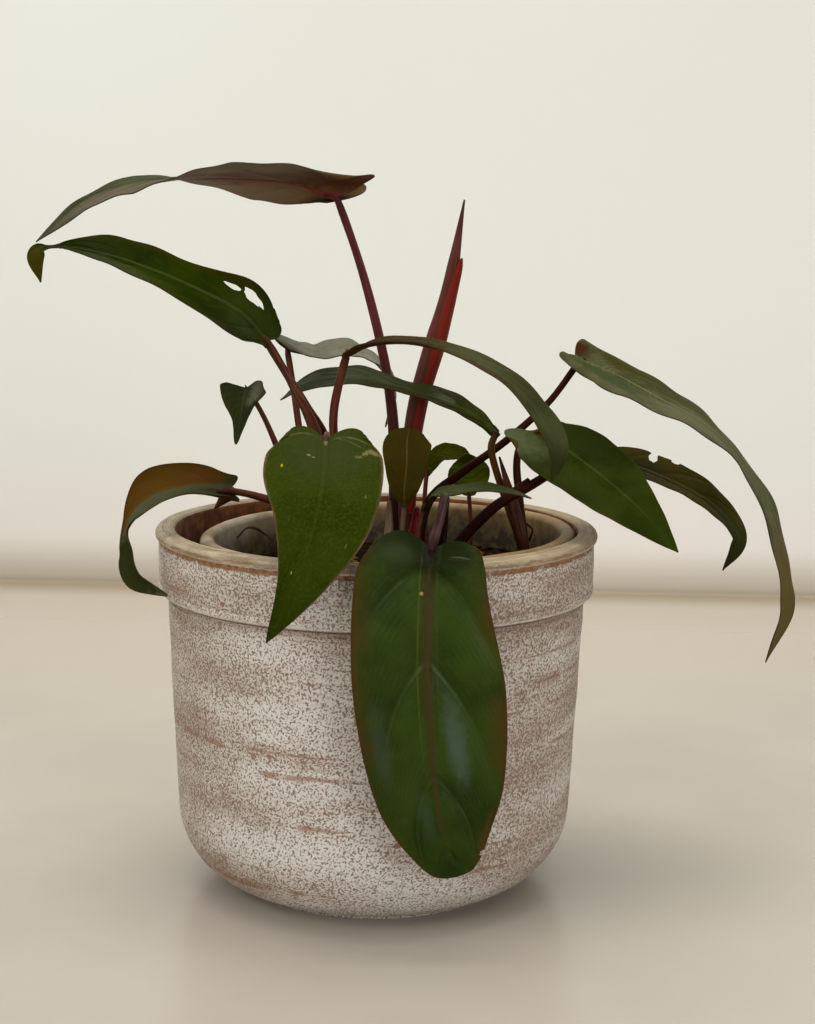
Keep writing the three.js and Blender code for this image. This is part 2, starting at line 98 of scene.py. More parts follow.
def apply_modifier(piece: bpy.types.Object, kind: str, **settings) -> None:
    """Add a modifier to a piece and apply it.

    Args:
        piece: The mesh object.
        kind: Blender's name of the modifier.
        **settings: Values of the modifier's own properties.
    """
    modifier = piece.modifiers.new(kind.lower(), kind)
    for key, value in settings.items():
        setattr(modifier, key, value)
    bpy.context.view_layer.objects.active = piece
    bpy.ops.object.modifier_apply(modifier=modifier.name)


def smooth_shade(piece: bpy.types.Object, degrees: float) -> None:
    """Shade a piece smooth, but for edges sharper than the angle."""
    deselect()
    piece.select_set(True)
    bpy.context.view_layer.objects.active = piece
    bpy.ops.object.shade_smooth_by_angle(angle=math.radians(degrees))


def face_outward() -> None:
    """Turn every face of the mesh in edit mode outward, and leave edit mode."""
    bpy.ops.mesh.select_all(action="SELECT")
    bpy.ops.mesh.normals_make_consistent(inside=False)
    bpy.ops.object.mode_set(mode="OBJECT")


def grow_ring(rise: float, share: float, height: float = 0.0) -> None:
    """Extrude the selected ring upwards in metres, and resize it about the upright axis."""
    bpy.ops.mesh.extrude_edges_move(TRANSFORM_OT_translate={"value": (0, 0, rise)})
    bpy.ops.transform.resize(value=(share, share, 1), center_override=(0, 0, height))


def join(piece: bpy.types.Object, others: Iterable[bpy.types.Object]) -> None:
    """Fuse other meshes to a piece, which keeps its name."""
    deselect()
    for part in (*others, piece):
        part.select_set(True)
    bpy.context.view_layer.objects.active = piece
    bpy.ops.object.join()


def linked(name: str, data: bpy.types.ID) -> bpy.types.Object:
    """Make an object for a light or camera and link it to the scene."""
    thing = bpy.data.objects.new(name, data)
    bpy.context.scene.collection.objects.link(thing)
    return thing


def report(piece: bpy.types.Object) -> None:
    """Log a finished piece and its number of faces."""
    LOG.info("%s: %d faces", piece.name, len(piece.data.polygons))


def wander(piece: bpy.types.Object, low: float, waves: tuple[Point, ...], brim: tuple[float, ...]) -> None:
    """Let a thrown wall wander in and out and its rim up and down, by noise.

    Args:
        piece: The pot.
        low: Height in metres above which its wall wanders.
        waves: Waves across and upward, and reach in metres, of each layer of noise.
        brim: Height above which the rim wanders, waves, level of the noise and reach.
    """
    brim_low, count, level, reach = brim
    for vertex in piece.data.vertices:
        x, y, z = vertex.co
        if z > low:
            out = sum(
                noise.noise(Vector((x * wide, y * wide, z * high))) * size for wide, high, size in waves
            )
            radius = math.hypot(x, y)
            vertex.co.x += x / radius * out
            vertex.co.y += y / radius * out
        if z > brim_low:
            vertex.co.z += noise.noise(Vector((x * count, y * count, level))) * reach


def seat(piece: bpy.types.Object, node: str) -> None:
    """Let a piece ride on the plant's one body and CAD node."""
    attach(piece, "root")
    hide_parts(node)


def locate(values: Sequence, t: np.ndarray) -> tuple[np.ndarray, np.ndarray, np.ndarray]:
    """Values as an array, with each place's stretch and the share of the way along it."""
    values = np.asarray(values, float)
    place = np.clip(t, 0, 1) * (len(values) - 1)
    index = np.minimum(place.astype(int), len(values) - 2)
    share = place - index
    return values, index, share[:, None] if values.ndim > 1 else share


def catmull(values: Sequence, t: np.ndarray) -> np.ndarray:
    """Places on a smooth curve through evenly spread values.

    Args:
        values: One row for each control value.
        t: Places along the curve, 0 to 1.

    Returns:
        One row for each place.
    """
    values, index, w = locate(values, t)
    ends = np.concatenate([[2 * values[0] - values[1]], values, [2 * values[-1] - values[-2]]])
    p0, p1, p2, p3 = (ends[index + k] for k in range(4))
    out, back = 0.5 * (p2 - p0), 0.5 * (p3 - p1)
    return p1 + out * w + (3 * (p2 - p1) - 2 * out - back) * w**2 + (2 * (p1 - p2) + out + back) * w**3


def straight(values: Sequence, t: np.ndarray) -> np.ndarray:
    """Places on straight stretches between evenly spread values."""
    values, index, w = locate(values, t)
    return values[index] * (1 - w) + values[index + 1] * w


def evenly(path: Sequence[Point], count: int) -> np.ndarray:
    """Points at even distances along the smooth curve through a path.

    Args:
        path: The control points.
        count: How many points to return.

    Returns:
        One row for each point.
    """
    fine = catmull(path, np.linspace(0, 1, 200))
    run = np.concatenate([[0], np.cumsum(np.linalg.norm(np.diff(fine, axis=0), axis=1))])
    want = np.linspace(0, run[-1], count)
    return np.stack([np.interp(want, run, fine[:, axis]) for axis in range(3)], axis=1)


def unit(rows: np.ndarray) -> np.ndarray:
    """Rows scaled to length one."""
    return rows / np.linalg.norm(rows, axis=1, keepdims=True)


class Nodes:
    """A material's node tree, to which one method adds every node."""

    def __init__(self, name: str) -> None:
        """Make an empty node material with that name."""
        self.material = bpy.data.materials.new(name)
        self.material.use_nodes = True
        self.tree = self.material.node_tree
        self.tree.nodes.clear()

    def add(self, kind: str, sockets: dict | None = None, out: int | str = 0, **settings):
        """Add a node with its settings, values and links.

        Args:
            kind: The node's type, without its ShaderNode prefix.
            sockets: Values or other nodes' outputs, by input name or number.
            out: The output to return.
            **settings: The node's own properties.

        Returns:
            The chosen output socket.
        """
        node = self.tree.nodes.new("ShaderNode" + kind)
        for key, value in settings.items():
            setattr(node, key, value)
        for key, value in (sockets or {}).items():
            if isinstance(value, bpy.types.NodeSocket):
                self.tree.links.new(value, node.inputs[key])
            else:
                node.inputs[key].default_value = value
        return node.outputs[out] if len(node.outputs) else node

    def blend(self, factor, a, b):
        """Mix two colours, each a socket or a hex colour, by a factor."""
        below, above = (linear(tone) if isinstance(tone, str) else tone for tone in (a, b))
        return self.add("Mix", {0: factor, 6: below, 7: above}, out=2, data_type="RGBA")

    def tint(self, colour, tone, mask, share):
        """Lay a tone over a colour by the product of a mask and a share."""
        return self.blend(self.times(mask, share), colour, tone)

    def step(self, value, low: float, high: float, to_low: float = 0, to_high: float = 1):
        """Map a value smoothly from one range to another, held at its ends."""
        sockets = {0: value, 1: low, 2: high, 3: to_low, 4: to_high}
        return self.add("MapRange", sockets, interpolation_type="SMOOTHSTEP")

    def fall(self, value, low: float, high: float, top: float = 1):
        """Fall smoothly from the top to nothing as a value crosses a range."""
        return self.step(value, low, high, top, 0)

    def band(self, value, start: float, full: float, fade: float, end: float):
        """Rise to one and fall back to nothing as a value crosses a band."""
        return self.times(self.step(value, start, full), self.fall(value, fade, end))

    def reckon(self, operation: str, a, b=0.5):
        """One arithmetic step on two values."""
        return self.add("Math", {0: a, 1: b}, operation=operation)

    def plus(self, a, b):
        """Add two values."""
        return self.reckon("ADD", a, b)

    def minus(self, a, b):
        """Subtract the second value from the first."""
        return self.reckon("SUBTRACT", a, b)

    def times(self, a, b):
        """Multiply two values."""
        return self.reckon("MULTIPLY", a, b)

    def over(self, a, b):
        """Divide the first value by the second."""
        return self.reckon("DIVIDE", a, b)

    def vector(self, operation: str, a, b: Point = (0, 0, 0), out: int = 0):
        """One arithmetic step on two vectors."""
        return self.add("VectorMath", {0: a, 1: b}, out=out, operation=operation)

    def axes(self, vector) -> tuple:
        """Sockets of a vector's X, Y and Z."""
        split = self.add("SeparateXYZ", {0: vector})
        return tuple(split.node.outputs[axis] for axis in range(3))

    def place(self, stretch: Point = (1, 1, 1), shift: Point = (0, 0, 0)):
        """Object coordinates in metres, stretched and shifted by a Mapping node."""
        here = self.add("TexCoord", out="Object")
        return self.add("Mapping", {"Vector": here, "Scale": stretch, "Location": shift})

    def grain(self, size: float, detail: float, vector=None):
        """Noise around a half, its lumps about so many millimetres across."""
        sockets = {"Scale": 1 / (size * MM), "Detail": detail, "Roughness": 0.5}
        return self.add("TexNoise", {**sockets, "Vector": vector or self.place()})

    def stray(self, size: float, detail: float, reach: float):
        """Noise that strays to both sides of nothing, by about half its reach."""
        return self.times(self.minus(self.grain(size, detail), 0.5), reach)

    def patch(self, size: float, detail: float, low: float, high: float, *ends: float, vector=None):
        """Noise stepped to patches with soft edges.

        Args:
            size: Width of a lump in millimetres.
            detail: Number of finer layers.
            low: Noise value at which a patch begins.
            high: Noise value at which it is full.
            *ends: Results outside and inside the patches, nothing and one by default.
            vector: Coordinates in metres, the object's own by default.

        Returns:
            Socket of the stepped noise.
        """
        return self.step(self.grain(size, detail, vector), low, high, *ends)

    def finish(self, colour, roughness, height=None, depth: float = 0.2, **shader) -> bpy.types.Material:
        """Close the tree with a Principled shader.

        Args:
            colour: Base colour, a socket or a linear colour.
            roughness: Roughness, a socket or a number.
            height: Socket of the relief, or None.
            depth: Millimetres that a height of one stands for.
            **shader: Further inputs, with underscores for spaces.

        Returns:
            The finished material.
        """
        sockets = {"Base Color": colour, "Roughness": roughness}
        sockets.update({key.replace("_", " "): value for key, value in shader.items()})
        if height is not None:
            bump = {"Height": height, "Distance": depth * MM, "Strength": 1.0}
            sockets["Normal"] = self.add("Bump", bump)
        shade = self.add("BsdfPrincipled", sockets)
        self.add("OutputMaterial", {"Surface": shade})
        return self.material


class Side(Enum):
    """The two faces of a blade and its edge, as material slots."""

    UPPER = 0
    UNDER = 1
    EDGE = 2


@dataclass(frozen=True)
class Mark:
    """A tinted place on a blade, such as a scar, a painted sheen or one half's own colour.

    Its middle and half sizes are shares: v across from the right edge (-1) to the left
    edge (1), and t from the stalk (0) to the tip (1).
    """

    v: float
    t: float
    wide: float
    long: float
    colour: str
    share: float = 0.8
    soft: float = 0.6
    ragged: float = 0.3
    slant: float = 0.0
    lump: float = 3.5

    def lay(self, n: Nodes, colour, v, t):
        """Blend the mark over a colour.

        Args:
            n: The material's nodes.
            colour: Socket of the colour below.
            v: Socket of the place across.
            t: Socket of the place along.

        Returns:
            Socket of the mixed colour.
        """
        across = n.over(n.minus(v, self.v), self.wide)
        aside = n.times(n.minus(v, self.v), self.slant)
        along = n.over(n.minus(n.minus(t, self.t), aside), self.long)
        away = n.plus(n.times(across, across), n.times(along, along))
        near = n.plus(n.reckon("SQRT", away), n.stray(self.lump, 3, 2 * self.ragged))
        return n.blend(n.fall(near, 1 - self.soft, 1, self.share), colour, self.colour)


def shares(n: Nodes) -> tuple:
    """Sockets of a blade's signed place across, its distance across and its place along."""
    across, t, _ = n.axes(n.add("UVMap", uv_map="blade"))
    side = n.minus(n.times(across, 2), 1)
    return side, n.reckon("ABSOLUTE", side), t


def midrib(n: Nodes, v, t, taper: float, tip: float, core: float):
    """Nearness to a midrib that narrows from the stalk to the tip.

    Args:
        n: The material's nodes.
        v: Socket of the distance across.
        t: Socket of the place along.
        taper: How much wider it is at the stalk than at the tip.
        tip: Its half width at the tip.
        core: Share of the half width that is plain rib.

    Returns:
        Socket of the nearness.
    """
    width = n.plus(n.times(n.minus(1, t), taper), tip)
    return n.fall(n.over(v, width), core, 1.3)


@dataclass(frozen=True)
class BladeFinish:
    """Upper face of a living blade: waxy, with sunken laterals and faint parallel veins.

    The wax gives broad soft reflections that follow the quilting between the veins.
    """

    name: str
    deep: str
    light: str
    rib: str
    rim: str = "3c2414"
    flush: str = "43330f"
    flush_share: float = 0.35
    rib_share: float = 0.5
    rib_width: float = 0.07
    roughness: float = 0.42
    gloss: float = 0.035
    laterals: float = 8
    vein_share: float = 0.2
    fine_share: float = 0.1
    vein: str = ""
    vein_width: float = 0.07
    patch: float = 1.0
    mottle: float = 0.2
    relief: float = 0.8
    marks: tuple[Mark, ...] = ()

    def veins(self, n: Nodes, v, t) -> tuple:
        """Sockets of the distance from the laterals and of the fine veins' wave."""
        sweep = n.times(n.reckon("POWER", v, SWEEP), n.plus(n.times(t, 0.25), 0.15))
        phase = n.times(n.minus(t, sweep), self.laterals)
        away = n.reckon("ABSOLUTE", n.minus(n.reckon("FRACT", phase), 0.5))
        return away, n.reckon("SINE", n.times(phase, TURN * 11))

    def material(self) -> bpy.types.Material:
        """Build the node material."""
        n = Nodes(self.name)
        side, v, t = shares(n)
        colour = n.blend(n.times(n.patch(26, 4, 0.33, 0.67), self.patch), self.deep, self.light)
        colour = n.tint(colour, self.light, n.patch(1.3, 3, 0.4, 0.8), self.mottle)
        # Laterals show near the midrib and fade before the edge and the tip
        away, fine = self.veins(n, v, t)
        near = n.times(n.times(n.fall(v, 0.1, 0.85), n.patch(30, 2, 0.3, 0.6)), n.fall(t, 0.78, 0.92))
        line = n.times(n.fall(away, 0, self.vein_width), near)
        colour = n.tint(colour, self.vein or self.rib, line, self.vein_share)
        hair = n.times(n.step(fine, -0.2, 1), n.patch(7, 3, 0.4, 0.62))
        colour = n.tint(colour, self.vein or self.rib, hair, self.fine_share)
        # Flush beside the edge, then the midrib, the marks and the thin rim
        blush = n.times(n.step(v, 0.6, 1), n.patch(28, 3, 0.35, 0.65))
        colour = n.tint(colour, self.flush, blush, self.flush_share)
        colour = n.tint(colour, self.rib, midrib(n, v, t, self.rib_width, 0.012, 0.5), self.rib_share)
        for mark in self.marks:
            colour = mark.lay(n, colour, side, t)
        edge = n.times(n.step(v, 0.93, 1), n.patch(8, 2, 0.3, 0.7, 0.35, 1))
        colour = n.tint(colour, self.rim, edge, 0.8)
        wax = n.patch(15, 2, 0.3, 0.7, self.roughness - 0.05, self.roughness + 0.1)
        groove = n.times(n.fall(away, 0, 0.16), n.fall(t, 0.78, 0.9))
        relief = n.plus(n.times(groove, -self.relief), n.times(fine, 0.05))
        relief = n.plus(relief, n.times(n.grain(2.4, 3), 0.3))
        return n.finish(colour, wax, relief, depth=0.3, IOR=1.45, Specular_IOR_Level=self.gloss)


@dataclass(frozen=True)
class UnderFinish:
    """Lower face of a blade: matt, flushed with red or olive, its midrib standing out.

    The flush turns the shaded undersides brown against the green upper faces.
    """

    name: str
    deep: str
    light: str
    rib: str
    rib_share: float = 0.8
    roughness: float = 0.55
    marks: tuple[Mark, ...] = ()

    def material(self) -> bpy.types.Material:
        """Build the node material."""
        n = Nodes(self.name)
        side, v, t = shares(n)
        colour = n.blend(n.patch(22, 4, 0.32, 0.68), self.deep, self.light)
        phase = n.times(n.minus(t, n.times(n.reckon("POWER", v, SWEEP), 0.22)), 8)
        fine = n.reckon("SINE", n.times(phase, TURN * 5))
        faint = n.times(n.step(fine, 0, 1), n.patch(8, 3, 0.4, 0.65))
        colour = n.tint(colour, self.light, faint, 0.14)
        for mark in self.marks:
            colour = mark.lay(n, colour, side, t)
        colour = n.tint(colour, self.rib, midrib(n, v, t, 0.05, 0.015, 0.6), self.rib_share)
        relief = n.plus(n.times(fine, 0.08), n.times(n.grain(2, 3), 0.35))
        return n.finish(colour, self.roughness, relief, depth=0.3, Specular_IOR_Level=0.05)


@dataclass(frozen=True)
class StalkFinish:
    """Skin of a petiole or sheath: smooth, streaked lengthwise, darker in patches.

    The streaks keep a thin round stalk from looking like plastic rod.
    """

    name: str
    deep: str
    light: str
    foot: str
    streak: str = ""
    roughness: float = 0.42
    gloss: float = 0.12

    def material(self) -> bpy.types.Material:
        """Build the node material."""
        n = Nodes(self.name)
        along, around = (n.add("Attribute", attribute_name=key, out=2) for key in ("along", "around"))
        turn = n.times(around, TURN)
        x, y = (n.times(n.reckon(wave, turn), 0.003) for wave in ("COSINE", "SINE"))
        skin = n.add("CombineXYZ", {"X": x, "Y": y, "Z": n.times(along, 0.012)})
        streak = n.patch(1.5, 3, 0.34, 0.68, vector=skin)
        colour = n.blend(streak, self.deep, self.light)
        broad = n.patch(3.4, 1, 0.47, 0.6, vector=skin)
        colour = n.tint(colour, self.streak or self.light, broad, 0.7)
        colour = n.tint(colour, self.deep, n.patch(9, 3, 0.35, 0.7), 0.3)
        # Another tone at the foot, and a dark joint below the blade
        colour = n.blend(n.fall(along, 0.1, 0.55, 0.75), colour, self.foot)
        colour = n.blend(n.step(along, 0.9, 0.96, 0, 0.8), colour, self.deep)
        relief = n.plus(n.times(streak, 0.6), n.times(n.grain(0.9, 2), 0.3))
        return n.finish(colour, self.roughness, relief, depth=0.12, Specular_IOR_Level=self.gloss)


@dataclass(frozen=True)
class GlazeFinish:
    """Thin off-white glaze sprayed on brown clay, fired matt.

    The glaze drew together into worm-like flecks, and the clay shows between them, in
    bands where the glaze is thin, in rusty spots and along the unglazed line at the lip.
    """

    name: str = "sprayed_matt_glaze_on_brown_clay"
    glaze: str = "dcd8d0"
    thin: str = "b8a596"
    clay: str = "8c7563"
    rust: str = "8f6246"
    bare: str = "8c5f38"

    def wiped(self, n: Nodes, x, y, z):
        """Colour on top of the lip, where the glaze is wiped thin in rings.

        Args:
            n: The material's nodes.
            x: Socket of the place to the right.
            y: Socket of the place to the back.
            z: Socket of the height.

        Returns:
            Socket of the colour.
        """
        radius = n.vector("LENGTH", n.add("CombineXYZ", {"X": x, "Y": y}), out=1)
        across = n.plus(n.times(radius, 1.6), n.times(z, 1.3))
        rings = n.grain(1.3, 3, n.add("CombineXYZ", {"X": across, "Y": n.times(x, 0.06)}))
        colour = n.blend(n.step(rings, 0.34, 0.62), "8a7759", "b8a98f")
        colour = n.blend(n.patch(9, 3, 0.42, 0.72, 0, 0.5), colour, "7a5f46")
        colour = n.blend(n.step(x, 0, 0.09, 0, 0.4), colour, "947a56")
        scratch = n.times(n.step(rings, 0.6, 0.66), n.patch(12, 2, 0.42, 0.55))
        return n.tint(colour, "5e4630", scratch, 0.6)

    def material(self) -> bpy.types.Material:
        """Build the node material."""
        n = Nodes(self.name)
        here = n.place()
        x, y, z = n.axes(here)
        # The glaze thins in patches and in bands, and the pot is painted darker towards both sides, as
        # painted shade where its wall turns from the light
        thinness = n.grain(34, 3, n.place((1, 1, 2.2), (0.31, 0.1, 0)))
        bands = n.grain(20, 3, n.place((0.16, 0.16, 1.7), (0, 0.07, 0.02)))
        thin_glaze_and_side_shade = n.plus(n.times(thinness, 0.35), n.times(bands, 0.4))
        thin_glaze_and_side_shade = n.plus(n.plus(thin_glaze_and_side_shade, n.fall(x, -0.085, -0.02, 0.07)), n.step(x, 0, 0.08, 0, 0.1))
        # Flecks of bare clay under 2 mm from one to the next, more where the glaze is thin and in the painted
        # shade at the sides
        warp = n.vector("MULTIPLY", n.grain(3.5, 1), (0.002, 0.002, 0.002))
        moved = n.vector("ADD", here, warp)
        fleck = n.plus(n.grain(0.95, 0.9, moved), n.step(thin_glaze_and_side_shade, 0.2, 0.72, -0.1, 0.055))
        cover = n.step(fleck, 0.39, 0.59)
        colour = n.blend(cover, n.blend(n.step(thin_glaze_and_side_shade, 0.3, 0.62), self.glaze, self.thin), self.clay)
        # Throwing streaks, thin rusty lines that run round the pot, and rusty spots
        around = n.place((0.05, 0.05, 1.5), (0.4, 0.2, 0.013))
        rusty = n.times(n.patch(5, 3, 0.56, 0.68, vector=around), n.patch(14, 2, 0.38, 0.58))
        colour = n.tint(colour, self.rust, rusty, 0.7)
        cells = n.add("TexVoronoi", {"Vector": moved, "Scale": 1 / 0.021, "Randomness": 1.0})
        keep = n.add("SeparateColor", {0: cells.node.outputs["Color"]})
        spots = n.times(n.fall(cells, 0.055, 0.085), n.step(keep, 0.4, 0.44))
        colour = n.tint(colour, self.rust, spots, 0.8)
        colour = n.blend(n.step(z, 0.1694, 0.1702), colour, self.wiped(n, x, y, z))
        # Lines round the lip, whose edges wander, and shade and light at the collar
        jag = n.plus(z, n.stray(4, 3, 0.003))
        tan = n.blend(n.patch(2, 3, 0.4, 0.65), self.bare, "a67e52")
        for height, edges, tone, share in (
            (jag, (0.1666, 0.1672, 0.1689, 0.1694), tan, n.patch(4, 3, 0.34, 0.46, 0.2, 0.95)),
            (jag, (0.1692, 0.1695, 0.1699, 0.1703), "cdbfa6", 0.6),
            (jag, (0.1708, 0.1711, 0.1715, 0.1719), "80603e", n.patch(10, 2, 0.4, 0.55, 0.1, 0.7)),
            (z, (0.1375, 0.1425, 0.143, 0.144), "8f7462", 0.45),
            (z, (0.1422, 0.1428, 0.1436, 0.1441), "5c4838", 0.75),
            (z, (0.1442, 0.1446, 0.145, 0.146), self.glaze, n.patch(6, 3, 0.35, 0.6, 0.2, 0.8)),
        ):
            colour = n.tint(colour, tone, n.band(height, *edges), share)
        relief = n.minus(n.times(n.grain(14, 3), 0.6), n.times(cover, 0.55))
        relief = n.minus(relief, n.times(rusty, 0.5))
        return n.finish(colour, n.step(cover, 0, 1, 0.52, 0.82), relief, depth=0.25, IOR=1.5)


@dataclass(frozen=True)
class BareClayFinish:
    """Unglazed clay inside the cachepot: dark red-brown and chalky.

    It makes the gap around the inner pot read as deep shade with a warm edge.
    """

    name: str = "unglazed_dark_terracotta"
    deep: str = "5c3012"
    light: str = "884e24"

    def material(self) -> bpy.types.Material:
        """Build the node material."""
        n = Nodes(self.name)
        colour = n.blend(n.patch(6, 4, 0.35, 0.7), self.deep, self.light)
        return n.finish(colour, 0.85, n.grain(2, 3), depth=0.2)


@dataclass(frozen=True)
class CreamFinish:
    """Cream clay of the inner pot, worn and stained by water and soil.

    Stains darken it in soft patches; painted shade darkens it inside the rim, deep inside above the soil and
    towards its right side.
    """

    name: str = "stained_cream_clay"
    cream: str = "b9ab94"
    stain: str = "8f754e"
    dark: str = "2c1b0a"

    def material(self) -> bpy.types.Material:
        """Build the node material."""
        n = Nodes(self.name)
        here = n.place()
        x, _, z = n.axes(here)
        colour = n.blend(n.patch(20, 4, 0.35, 0.68), self.cream, self.stain)
        # Painted shade: darker and browner towards the right side, behind the stalks
        colour = n.blend(n.step(x, -0.02, 0.07, 0, 0.7), colour, "8f7850")
        colour = n.tint(colour, self.stain, n.patch(1.4, 3, 0.4, 0.75), 0.3)
        # Painted shade: brown inside the rim, where the wall turns down into the pot
        flat = n.vector("MULTIPLY", n.vector("ADD", here, (-0.009, 0.0015, 0)), (1, 1, 0))
        radius = n.vector("LENGTH", flat, out=1)
        colour = n.blend(n.fall(radius, 0.0825, 0.0855, 0.75), colour, "987440")
        # Painted shade deep inside the pot above the soil, dark with greenish patches, up to a ragged line
        # that stands higher on the right
        low = n.minus(n.plus(z, n.stray(9, 3, 0.014)), n.step(x, -0.04, 0.03, 0, 0.007))
        painted_inner_shade = n.blend(n.patch(5, 3, 0.45, 0.6), self.dark, "4c4410")
        colour = n.blend(n.fall(low, 0.153, 0.172, 0.98), colour, painted_inner_shade)
        # Drips below the rim, most on the right, and chips
        drip = n.patch(5, 3, 0.52, 0.64, vector=n.place((1, 1, 0.2), (0.5, 0.2, 0.1)))
        drip = n.times(drip, n.step(x, 0.02, 0.06, 0.1, 0.6))
        colour = n.tint(colour, "5e3c16", drip, n.fall(z, 0.165, 0.172))
        chips = n.patch(5, 3, 0.68, 0.73, vector=n.place(shift=(0.2, 0.1, 0.3)))
        colour = n.tint(colour, self.dark, chips, 0.7)
        relief = n.plus(n.grain(6, 4), n.times(chips, -0.4))
        return n.finish(colour, 0.62, relief, depth=0.25, IOR=1.5)


@dataclass(frozen=True)
class CrumbFinish:
    """Peat, bark or dry litter: matt crumbs that hardly reflect."""

    name: str
    deep: str
    light: str
    lump: float = 2.0

    def material(self) -> bpy.types.Material:
        """Build the node material."""
        n = Nodes(self.name)
        colour = n.blend(n.patch(self.lump, 4, 0.35, 0.7), self.deep, self.light)
        return n.finish(colour, 0.93, n.grain(self.lump / 2, 4), depth=0.6, Specular_IOR_Level=0.03)


@dataclass(frozen=True)
class Hole:
    """A torn place in a blade: its middle, half length and half width, and turn."""

    t: float
    v: float
    length: float
    width: float
    turn: float


@dataclass(frozen=True)
class LeafShape:
    """Form of one blade, with its stalk, which ends where the spine begins.

    Pairs give the left and the right half, and sizes along the spine are half widths.
    """

    name: str
    spine: tuple[Point, ...]
    left: tuple[float, ...]
    right: tuple[float, ...]
    face: tuple[Point, ...]
    stalk: tuple[Point, ...] = ()
    stalk_radius: tuple[float, float] = (1, 1)
    lobe: tuple[float, float] = (2, 2)
    rise: tuple[float, float] = (0, 0)
    fold: tuple[float, float] = (6, 6)
    curl: tuple[float, float] = (0, 0)
    holes: tuple[Hole, ...] = ()
    small: bool = False
    ripple: float = 0.6
    quilt: float = 0.35
    laterals: float = 8
    corner: float = 0.3
    lobe_power: float = 1.0
    cut: float = 0.0
    rise_power: tuple[float, float] = (1, 1)
    droop: tuple[float, float] = (0, 0)
    upper: str = "deep"
    under: str = "olive"

    @property
    def length(self) -> float:
        """Length of the spine in millimetres."""
        points = catmull(self.spine, np.linspace(0, 1, 60))
        return float(np.linalg.norm(np.diff(points, axis=0), axis=1).sum())

    def widths(self, t: np.ndarray, v: np.ndarray) -> np.ndarray:
        """Half width of the blade at each place, on the half that v lies on."""
        end = np.clip((t - 0.95) / 0.05, 0, 1)
        half = np.where(v >= 0, catmull(self.left, t), catmull(self.right, t))
        return np.maximum(half * np.sqrt(1 - 0.9 * end**2), 0.25)

    def at(self, t: np.ndarray, v: np.ndarray, lift: np.ndarray) -> np.ndarray:
        """Points of the upper face.

        Args:
            t: Places from the stalk (0) to the tip (1).
            v: Places from the right edge (-1) to the left edge (1).
            lift: Millimetres to raise each point above the plain form.

        Returns:
            One row in millimetres for each place.
        """
        # The outer corner of each lobe starts further along, which rounds it off
        t = t + self.cut * np.abs(v) ** 3 * np.clip(1 - t / CORNER, 0, 1) ** 2
        ahead, behind = np.minimum(t + 0.01, 1), np.maximum(t - 0.01, 0)
        tip = unit(catmull(self.spine, ahead) - catmull(self.spine, behind))
        side = unit(np.cross(tip, straight(self.face, t)))
        up = np.cross(side, tip)
        pairs = (self.fold, self.curl, self.lobe, self.rise, self.rise_power, self.droop)
        fold, curl, lobe, top, power, droop = (
            np.array(pair, float)[np.where(v >= 0, 0, 1)] for pair in pairs
        )
        fold, curl = np.radians(fold), np.radians(curl)
        curl = np.where(curl == 0, 1e-6, curl)
        width = self.widths(t, v)
        # The corner beside each lobe is drawn in a little, so that the outline runs round
        corner = np.clip(1 - t / CORNER, 0, 1) ** 2 * np.abs(v) ** 3 * self.corner
        bend = fold + curl * (np.abs(v) * (1 - corner))
        out = width * (np.sin(bend) - np.sin(fold)) / curl
        rise = width * (np.cos(fold) - np.cos(bend)) / curl
        # A lobe that rises before or after it runs back ends round instead of sharp
        fade = np.clip(1 - 4 * t, 0, 1) ** 2
        back, climb = (
            np.clip(np.sin(np.pi * place), 0, 1) ** self.lobe_power * fade
            for place in (np.abs(v), np.abs(v) ** power)
        )
        high = rise + top * climb - droop * v**2 * fade + lift
        centre = catmull(self.spine, t) + side * (np.sign(v) * out)[:, None]
        return centre + up * high[:, None] - tip * (lobe * back)[:, None]


def laid_out(mesh: bpy.types.Mesh) -> tuple[np.ndarray, np.ndarray]:
    """Places across and along a blade for each vertex of its flat sheet."""
    flat = np.array([vertex.co[:] for vertex in mesh.vertices])
    return -np.sign(flat[:, 0]) * np.abs(flat[:, 0]) ** CROWD, 0.5 - flat[:, 1] / 2


